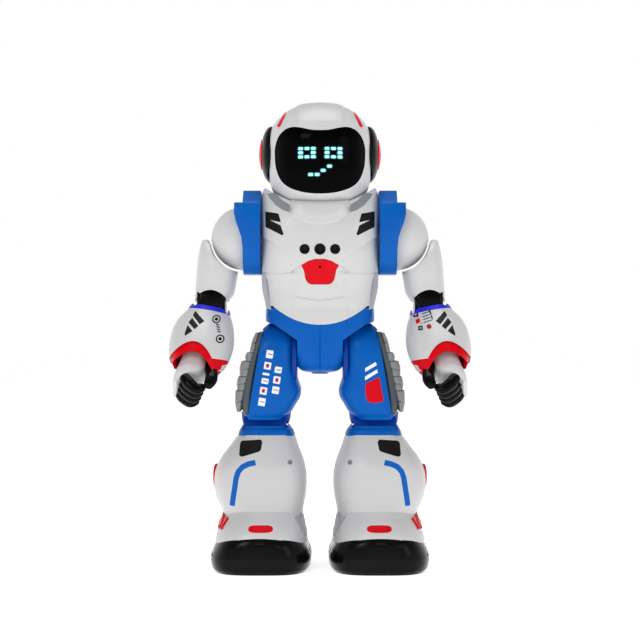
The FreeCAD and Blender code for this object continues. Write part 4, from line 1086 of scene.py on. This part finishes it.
def make_arms():
    yoke, sphere = shoulder_pieces()
    sleeve, block = sleeve_pieces()
    gauntlet, band, cuff, cuff_shade_ring, palm, first_finger, *digits = forearm_pieces()
    place_pair(yoke, "shoulder", "blue_plastic", "shoulder_yoke")
    place_pair(sphere, "shoulder", "white_plastic", "shoulder_ball")
    place_pair(sleeve, "upper_arm", "white_plastic", "arm_sleeve")
    place_pair(block, "upper_arm", "black_plastic", "elbow_block")
    place_pair(gauntlet, "forearm", "white_plastic", "gauntlet")
    place_pair(band, "forearm", "blue_plastic")
    place_pair(cuff, "forearm", "red_plastic", "cuff_ring")
    place_pair(cuff_shade_ring, "forearm", "red_plastic")
    place_pair(palm, "forearm", "white_plastic", "palm")
    place_pair(first_finger, "forearm", "black_gloss", "fingers")
    for digit in digits:
        place_pair(digit, "forearm", "black_gloss")


SHARD = [(71.7, 148.6), (66.0, 142.6), (68.6, 140.8), (72.9, 145.9)]
SHARD_LOW = [(73.2, 144.6), (69.3, 139.9), (71.3, 138.0), (75.1, 142.0)]
SHARD_TIP = [(75.5, 140.5), (72.5, 137.0), (76.6, 134.3), (76.9, 135.4)]


def mark_forearm(side, name, outline, material="mark_black", holes=()):
    shape = outline if side == "left" else flipped(outline)
    piece = inlay(f"{side}_{name}", shape, surface_of(side + "_gauntlet_casing"), MATERIALS[material],
                  step=0.6, holes=[hole if side == "left" else flipped(hole) for hole in holes])
    place(piece, side + "_forearm", "red_plastic" if material == "mark_red" else "black_plastic")


def make_forearm_marks():
    """Three slanted shards on each forearm, beside a linked pair of rings or a column of small signs."""
    for side in ("left", "right"):
        for number, shard in enumerate((SHARD, SHARD_LOW, SHARD_TIP)):
            mark_forearm(side, f"gauntlet_shard_{number}", rounded_outline(shard, 0.3, 3))
    for number, (x, z) in enumerate(((59.4, 143.8), (56.8, 132.6))):
        mark_forearm("right", f"gauntlet_ring_{number}", circle(x, z, 2.4, 36), holes=[circle(x, z, 1.7, 28)])
        mark_forearm("right", f"gauntlet_dot_{number}", circle(x, z, 0.95, 20))
    for number, share in enumerate((0.30, 0.42, 0.54, 0.66)):
        x, z = 59.4 - 2.6 * share, 143.8 - 11.2 * share
        link = [(x - 0.9, z - 0.35), (x + 0.9, z + 0.1), (x + 0.8, z + 0.75), (x - 1.0, z + 0.3)]
        mark_forearm("right", f"gauntlet_link_{number}", rounded_outline(link, 0.2, 2))
    for number, (x, z, half) in enumerate(((55.2, 146.5, 1.45), (57.4, 138.7, 1.25))):
        square = [(x - half, z - half * 1.1), (x + half, z - half * 0.9), (x + half, z + half * 1.1),
                  (x - half, z + half * 0.9)]
        mark_forearm("left", f"gauntlet_square_{number}", rounded_outline(square, 0.4, 3),
                     holes=[circle(x, z, half * 0.42, 16)])
    red_square = [(55.2, 141.0), (57.5, 141.9), (57.2, 144.4), (54.9, 143.4)]
    mark_forearm("left", "gauntlet_red_square", rounded_outline(red_square, 0.3, 3), "mark_red")
    for number in range(5):
        x, z = 60.9 + 0.25 * number, 149.3 - 1.65 * number
        slit = [(x - 2.4, z - 1.1), (x + 2.4, z + 0.55), (x + 2.4, z + 1.0), (x - 2.4, z - 0.6)]
        mark_forearm("left", f"gauntlet_slit_{number}", slit)
    dot = (62.2, 139.6)
    mark_forearm("left", "gauntlet_red_dot_rim", circle(*dot, 1.35, 28), holes=[circle(*dot, 0.95, 24)])
    mark_forearm("left", "gauntlet_red_dot", circle(*dot, 0.9, 24), "mark_red")


# ---------------------------------------------------------------- legs
THIGH_ROWS = [
    (86.6, 21.4, 43.0, -14.6, 14.6), (89.6, 17.0, 45.4, -17.2, 16.6), (94.0, 14.2, 47.2, -18.6, 18.0),
    (99.6, 11.2, 48.2, -19.2, 18.6), (102.6, 10.9, 48.0, -19.4, 19.0), (108.0, 12.4, 47.0, -19.4, 19.4),
    (114.0, 13.8, 46.0, -19.4, 19.4), (122.0, 13.9, 43.4, -19.4, 19.4), (130.0, 13.9, 39.0, -17.8, 17.8),
    (135.0, 14.4, 35.8, -14.6, 14.6), (139.0, 16.0, 32.6, -9.6, 9.6), (141.0, 18.5, 30.0, -4.4, 4.4),
]
PAD_CORE = ((89.8, 44.6), (96, 46.2), (104, 46.0), (112, 44.8), (120, 42.0), (128, 38.8), (135.6, 36.0))
PAD_STEPS = [(136.0, 124.8, 37.6, 40.6), (124.5, 119.7, 42.6, 43.1), (119.4, 110.9, 45.8, 46.5),
             (110.6, 102.8, 47.6, 48.0), (102.5, 90.2, 49.1, 48.3)]
KNEE_Z = 80.0
KNEE_NECK = [(19.6, 1), (19.6, 9.6), (20.6, 10.4), (43.4, 10.4), (44.4, 9.6), (44.4, 1)]
SKIRT_ROWS = [(83.0, 18.2, 45.0, -3.6, 3.6), (85.4, 17.4, 45.5, -8.0, 8.0), (89.4, 16.8, 45.8, -13.0, 13.0)]
HIP_WASHER = [(13.2, 1), (13.2, 17.0), (13.6, 18.4), (16.0, 18.4)]


def pad_inner(z):
    """Where the pad meets the thigh, seen from the front."""
    return 33.0 + (136.4 - z) * (41.2 - 33.0) / (136.4 - 90.0)


def pad_depth(z):
    """Half length of the pad front to back at a height."""
    return float(18.7 - 4.6 * ease((z - 124) / 14) - 2.0 * ease((95 - z) / 6))


def thigh_pieces():
    thigh = loft("thigh_casing", THIGH_ROWS, MATERIALS["blue"], 3.2, 110, 180, 1.2, 0.4)
    cut(thigh, [(33.0, 137.6), (41.4, 89.6), (44.0, 88.4), (70, 88.4), (70, 137.6)])
    core_rows = [(z, pad_inner(z) - 0.6, x, 0.2 - pad_depth(z), pad_depth(z) - 0.2) for z, x in PAD_CORE]
    core = loft("pad_core", core_rows, MATERIALS["dark_grey"], 3.4, 70, 140, 1.6, 0.8)
    plates = []
    for number, (top, low, x_top, x_low) in enumerate(PAD_STEPS):
        rows = []
        for share in (0, 0.5, 1):
            z = low + 0.5 + (top - low - 1.0) * share
            half = pad_depth(z) + 0.5
            inner = pad_inner(z) + 2.2 + 0.055 * (136 - z)
            swell = 0.5 if share == 0.5 else 0.0
            rows.append((z, inner, x_low + (x_top - x_low) * share + swell, -half, half))
        plate = loft(f"pad_plate_{number + 1}", rows, MATERIALS["grey"], 4.2, 40, 160, 0.5, 0.5)
        middle = (top + low) / 2
        lines = [groove([(y, low - 2), (y, top + 2)], 0.9, 0.7, "left") for y in (-9.0, 0.0, 9.0)]
        if top - low > 7:
            across = [(x_low - 5.4, middle), (x_low + 3, middle)]
            lines += [groove(across, 0.9, 0.6, side) for side in ("front", "back")]
        sculpt(plate, *lines)
        plates.append(plate)
    # The knee neck, knee skirt and hip washer take the darker blue: painted shade under the thigh and at the
    # hip.
    shaded_blue = MATERIALS["shaded_blue"]
    neck = lathe("knee_neck", rounded_profile(KNEE_NECK), (0, 0, KNEE_Z), "X", shaded_blue)
    skirt = loft("knee_skirt", SKIRT_ROWS, shaded_blue, 3.0, 40, 96, 0.2, 0.4)
    washer = lathe("hip_washer", rounded_profile(HIP_WASHER, 0.4), (0, 0, HIP_Z), "X", shaded_blue)
    return thigh, core, plates, neck, skirt, washer


COLLAR_ROWS = [(76.4, 14.6, 47.8, -17.0, 16.8), (79.0, 15.4, 47.0, -16.4, 16.2),
               (81.4, 17.2, 45.6, -14.8, 14.8)]
SHIN_ROWS = [
    (30.6, 10.0, 56.0, -31.4, 30.2), (33.0, 9.8, 56.6, -31.6, 30.2), (36.6, 9.3, 58.4, -31.2, 29.8),
    (42.0, 8.2, 60.6, -30.6, 29.2), (48.0, 7.7, 61.5, -29.8, 28.4), (54.0, 7.8, 61.2, -28.8, 27.4),
    (59.0, 8.7, 59.8, -27.6, 26.2), (64.0, 10.2, 57.2, -25.2, 24.2), (69.6, 12.4, 52.9, -21.8, 21.4),
    (74.0, 13.8, 49.6, -19.0, 18.8), (76.6, 14.8, 47.6, -17.2, 17.0),
]
FOOT_ROWS = [
    (16.8, 7.2, 60.8, -45.8, 44.6), (19.0, 7.4, 60.4, -44.8, 43.6), (24.0, 8.4, 58.6, -41.0, 39.6),
    (29.0, 9.4, 56.4, -35.6, 34.2), (33.0, 10.8, 54.8, -31.0, 29.6), (36.0, 12.8, 53.0, -28.0, 26.6),
]
SOLE_ROWS = [
    (0.4, 7.4, 60.6, -46.4, 46.4), (2.2, 5.8, 62.2, -47.8, 47.8), (7.6, 4.8, 63.2, -48.8, 48.8),
    (12.4, 6.0, 62.0, -47.8, 47.8), (15.6, 7.6, 60.4, -46.2, 46.2), (17.4, 9.4, 58.6, -44.4, 44.4),
    (18.6, 12.6, 55.4, -41.6, 41.6),
]
FOOT_X = 34.0
ARCH_RISE = 5.4
ARCH_DROP = 1.4
ARCH_LOW = 4.0
ARCH_HIGH = 16.0
ROLLER_OFFSET = 16.0
MARK = [(46.0, 72.6), (44.8, 73.8), (34.2, 74.6), (33.1, 73.4), (33.9, 68.6), (35.2, 67.8), (44.9, 64.9),
        (46.4, 65.8)]
THIGH_LEAN_DEG = -9.3
SHIN_DISC = [(55, 7.4), (61.0, 7.4), (61.8, 6.6), (62.4, 4.0), (62.6, 0.5)]
STRIPE = [(36.8, 61.9), (41.0, 61.0), (44.3, 59.4), (46.6, 56.8), (47.8, 53.2), (48.6, 47.5), (49.5, 41.8),
          (50.1, 37.4)]


def arch(piece, fade_low, fade_high):
    """Lifts the middle of a foot piece and lowers its sides, growing with height and then halving."""
    points = points_of(piece)
    across = np.clip((points[:, 0] - FOOT_X) / 28.0, -1, 1) ** 2
    lift = ARCH_RISE * (1 - across) - ARCH_DROP
    z = points[:, 2]
    share = ease((z - ARCH_LOW) / (ARCH_HIGH - ARCH_LOW))
    share *= 1 - 0.5 * ease((z - fade_low) / (fade_high - fade_low))
    points[:, 2] += lift * share
    set_points(piece, points)
    shade(piece)
    return piece


def shin_base(piece):
    """Arched lower edge of the shin, over the instep."""
    points = points_of(piece)
    across = np.clip((points[:, 0] - FOOT_X) / 26.0, -1, 1) ** 2
    points[:, 2] += (2.6 * (1 - across) - 0.6) * (1 - ease((points[:, 2] - 31) / 14))
    set_points(piece, points)
    shade(piece)
    return piece


def boot_pieces():
    collar = loft("knee_collar_casing", COLLAR_ROWS, MATERIALS["blue"], 3.0, 24, 140, 0.3, 0.8)
    shin = loft("shin_casing", SHIN_ROWS, MATERIALS["white"], 2.9, 140, 240, 0.7, 0.3)
    shin_base(shin)
    sculpt(shin, *[groove([(0.6, 120), (0.6, 0)], 0.5, 0.4, side) for side in ("left", "right")])
    cut(shin, circle(17.2, 61.9, 1.35, 24), high=-19.5)
    throat = prism(rectangle(19.0, -11.4, 45.0, 11.4), "Z", 66, 100)
    combine(collar, throat, keep_tool=True)
    combine(shin, throat)
    foot = loft("foot_cap", FOOT_ROWS, MATERIALS["white"], 3.0, 60, 220, 0.3, 0.9)
    arch(foot, 18.0, 34.0)
    sole = loft("sole_casing", SOLE_ROWS, MATERIALS["sole"], 3.6, 60, 260, 0.4, 0.8)
    return collar, shin, foot, sole


def sole_treads(sole):
    """Pockets round the rim, the arch over them, and a slot for each roller."""
    for x in (12.6, 23.0, 34.0, 45.0, 55.4):
        half = 3.2 if x == 34.0 else 2.6
        top = 14.6 - 3.4 * ((x - FOOT_X) / 24) ** 2
        for low, high in ((-60, -44.9), (44.9, 60)):
            tilt = 1.2 * (x - FOOT_X) / 21
            outline = [(x - half, top - 1.7 + tilt * 0.4), (x + half, top - 1.7 - tilt * 0.4),
                       (x + half * 0.8, top - tilt * 0.4), (x - half * 0.8, top + tilt * 0.4)]
            cut(sole, outline, low, high)
    for y in (-30, -15, 0, 15, 30):
        for low, high in ((0, 7.0), (61.0, 70)):
            cut(sole, [(y - 3.0, 9.6), (y + 3.0, 9.6), (y + 2.4, 13.4), (y - 2.4, 13.4)], low, high, "X")
    arch(sole, 30.0, 40.0)
    for x in (FOOT_X - ROLLER_OFFSET, FOOT_X + ROLLER_OFFSET):
        cut(sole, rectangle(x - 3.5, 18.4, x + 3.5, 29.6), -1, 11.2, "Z")


def make_legs():
    thigh, core, plates, neck, skirt, washer = thigh_pieces()
    collar, shin, foot, sole = boot_pieces()
    panel_lines = [groove([(x, 0), (x, 20)], 0.5, 0.28, side)
                   for x in (22.6, 45.4) for side in ("front", "back")]
    sculpt(sole, *panel_lines)
    sole_treads(sole)
    disc = lathe("shin_disc", rounded_profile(SHIN_DISC, 0.5), (0, 0, 52), "X", MATERIALS["red"])
    place_pair(thigh, "thigh", "blue_plastic", "thigh_shell")
    place_pair(core, "thigh", "grey_plastic", "thigh_pad")
    for piece in (neck, skirt, washer):
        place_pair(piece, "thigh", "blue_plastic")
    place_pair(collar, "boot", "blue_plastic", "knee_collar")
    place_pair(shin, "boot", "white_plastic", "shin_shell")
    place_pair(foot, "boot", "white_plastic", "foot_upper")
    place_pair(sole, "boot", "sole_rubber", "sole")
    place_pair(disc, "boot", "red_plastic", "shin_trims")
    for plate in plates:
        place_pair(plate, "thigh", "grey_plastic")
    for side, flip in (("left", lambda shape: shape), ("right", flipped)):
        make_boot_marks(side, flip)
    make_left_thigh_marks()
    make_right_thigh_marks()


def surface_of(name):
    return Surface(bpy.data.objects[name])


def make_boot_marks(side, flip):
    shin, foot = surface_of(side + "_shin_casing"), surface_of(side + "_foot_cap")
    body = side + "_boot"
    mark = inlay(f"{side}_shin_mark", rounded_outline(flip(MARK), 0.8, 4), shin, MATERIALS["mark_black"])
    place(mark, body, "black_plastic")
    band = inlay(f"{side}_shin_stripe", rounded_outline(flip(stroke(STRIPE, 3.1)), 0.5, 3), shin,
                 MATERIALS["mark_blue"])
    place(band, body, "blue_plastic")
    bar = [(33.4 + 7.0 * math.copysign(abs(math.cos(a)) ** 0.5, math.cos(a)),
            25.7 + 1.95 * math.copysign(abs(math.sin(a)) ** 0.8, math.sin(a)))
           for a in np.linspace(0, 2 * math.pi, 48, endpoint=False)]
    lamp = inlay(f"{side}_toe_bar", flip(bar), foot, MATERIALS["mark_red"], 0.12, 0.1)
    place(lamp, body, "red_plastic")
    wedge = flip([(55.6, 33.4), (57.4, 31.0), (59.0, 27.2), (57.6, 23.4), (55.4, 26.6), (54.6, 30.0)])
    tab = inlay(f"{side}_ankle_wedge", rounded_outline(wedge, 0.4, 3), foot, MATERIALS["red"], 1.2, 0.2, 2.5)
    place(tab, body, "red_plastic")
    # Grey patch on the inner side of the ankle: painted shade, standing for the white foot in shadow there.
    heel = flip([(11.2, 33.6), (9.0, 35.0), (8.0, 19.4), (9.6, 19.6), (11.6, 26.0)])
    grey = inlay(f"{side}_ankle_cover", rounded_outline(heel, 0.5, 3), foot, MATERIALS["trim"], 0.7, 0.3, 1.5)
    place(grey, body, "grey_plastic")


def slanted(x, z, along, across):
    """Rounded block centred on (x, z) that leans with the right thigh."""
    lean = math.radians(THIGH_LEAN_DEG)
    c, s = math.cos(lean) / 2, math.sin(lean) / 2
    turned = [(x + u * c - v * s, z + u * s + v * c) for u, v in rectangle(-across, -along, across, along)]
    return rounded_outline(turned, 0.45, 3)


def make_left_thigh_marks():
    """Two white bars over a red shield."""
    thigh = surface_of("left_thigh_casing")
    bars = [[(25.9, 115.6), (32.0, 119.2), (32.7, 117.4), (26.0, 113.4)],
            [(25.9, 110.8), (32.8, 115.0), (33.3, 113.1), (25.9, 108.6)]]
    for number, bar in enumerate(bars):
        place(inlay(f"left_thigh_bar_{number}", rounded_outline(bar, 0.3, 3), thigh, MATERIALS["mark_white"]),
              "left_thigh", "white_plastic")
    shield = [(26.0, 106.7), (34.0, 110.5), (36.6, 96.6), (31.2, 95.4), (27.8, 96.2), (26.3, 99.4)]
    place(inlay("left_thigh_shield", rounded_outline(shield, 1.0, 4), thigh, MATERIALS["mark_red"]),
          "left_thigh", "red_plastic")


def make_right_thigh_marks():
    """Two rows of plain white blocks, some with a red core."""
    thigh = surface_of("right_thigh_casing")
    blocks = [(-33.4, 96.2, 4.6, False), (-32.5, 102.6, 4.2, True), (-31.6, 108.2, 3.2, False),
              (-31.0, 112.2, 1.4, False), (-30.1, 117.0, 4.2, True), (-28.9, 123.6, 4.6, False),
              (-25.5, 103.0, 4.2, False), (-24.8, 108.8, 4.2, True), (-24.0, 114.6, 3.6, False)]
    for number, (x, z, length, cored) in enumerate(blocks):
        holes = [slanted(x, z, length - 2.0, 1.8)] if cored else []
        if not cored and length > 2:
            holes = [slanted(x + 0.3, z, 0.5, 2.6)]
        block = inlay(f"right_thigh_block_{number}", slanted(x, z, length, 4.0), thigh,
                      MATERIALS["mark_white"], step=0.5, holes=holes)
        place(block, "right_thigh", "white_plastic")
        if cored:
            core = inlay(f"right_thigh_core_{number}", slanted(x, z, length - 2.4, 1.4), thigh,
                         MATERIALS["mark_red"], step=0.5)
            place(core, "right_thigh", "red_plastic")


# ---------------------------------------------------------------- studio
CAMERA_DISTANCE = 1.1
CAMERA_HEIGHT = 0.1433
LENS = 105.8
FLOOR_HALF = 3000.0
FLOOR_GLOW = 0.74
SKY_TOP = 0.30
SKY_FRONT = 0.86


def area_light(name, position, aim, size, power):
    data = bpy.data.lights.new(name, "AREA")
    data.shape = "RECTANGLE"
    data.size, data.size_y = size
    data.energy = power
    lamp = bpy.data.objects.new(name, data)
    lamp.location = position
    lamp.rotation_euler = (Vector(aim) - Vector(position)).to_track_quat("-Z", "Y").to_euler()
    bpy.context.scene.collection.objects.link(lamp)


def make_studio():
    scene = bpy.context.scene
    data = bpy.data.cameras.new("camera")
    data.lens = LENS
    data.clip_start = 0.01
    camera = bpy.data.objects.new("camera", data)
    camera.location = (0, -CAMERA_DISTANCE, CAMERA_HEIGHT)
    camera.rotation_euler = (math.radians(90), 0, 0)
    scene.collection.objects.link(camera)
    scene.camera = camera

    floor_material = plastic("floor", (0.86, 0.86, 0.86), 0.7, mottle=0.004, grain=0.0, edge=0.0)
    glow = floor_material.node_tree.nodes["Principled BSDF"]
    glow.inputs["Emission Color"].default_value = (1, 1, 1, 1)
    glow.inputs["Emission Strength"].default_value = FLOOR_GLOW
    corners = [(x, y, 0) for x, y in rectangle(-FLOOR_HALF, -FLOOR_HALF, FLOOR_HALF, FLOOR_HALF)]
    new_piece("floor", corners, [(0, 1, 2, 3)], floor_material)

    make_world(scene)
    area_light("key", (-0.50, -0.95, 0.95), (0, 0, 0.15), (0.40, 0.40), 3.0)
    area_light("fill", (0.80, -0.70, 0.55), (0, 0, 0.15), (0.4, 0.5), 1.0)
    area_light("top", (0, 0.05, 1.2), (0, 0, 0.1), (0.7, 0.5), 4.2)
    scene.view_settings.view_transform = "Standard"


def make_world(scene):
    """White surroundings, brightest behind the robot near the horizon and dimmer in front and overhead."""
    world = bpy.data.worlds.new("studio")
    scene.world = world
    world.use_nodes = True
    nodes, links = world.node_tree.nodes, world.node_tree.links
    direction = nodes.new("ShaderNodeTexCoord")
    split = nodes.new("ShaderNodeSeparateXYZ")
    links.new(direction.outputs["Generated"], split.inputs[0])
    ramp = nodes.new("ShaderNodeMapRange")
    ramp.inputs["From Min"].default_value = 0.20
    ramp.inputs["From Max"].default_value = 0.60
    ramp.inputs["To Min"].default_value = 1.0
    ramp.inputs["To Max"].default_value = SKY_TOP
    links.new(split.outputs["Z"], ramp.inputs["Value"])
    front = nodes.new("ShaderNodeMapRange")
    front.inputs["From Min"].default_value = -0.30
    front.inputs["From Max"].default_value = 0.40
    front.inputs["To Min"].default_value = SKY_FRONT
    front.inputs["To Max"].default_value = 1.0
    links.new(split.outputs["Y"], front.inputs["Value"])
    both = nodes.new("ShaderNodeMath")
    both.operation = "MULTIPLY"
    links.new(ramp.outputs["Result"], both.inputs[0])
    links.new(front.outputs["Result"], both.inputs[1])
    links.new(both.outputs["Value"], nodes["Background"].inputs["Strength"])
    nodes["Background"].inputs["Color"].default_value = (1, 1, 1, 1)


dress_cad_nodes()
make_head()
make_torso()
make_pelvis()
make_arms()
make_forearm_marks()
make_legs()
make_studio()
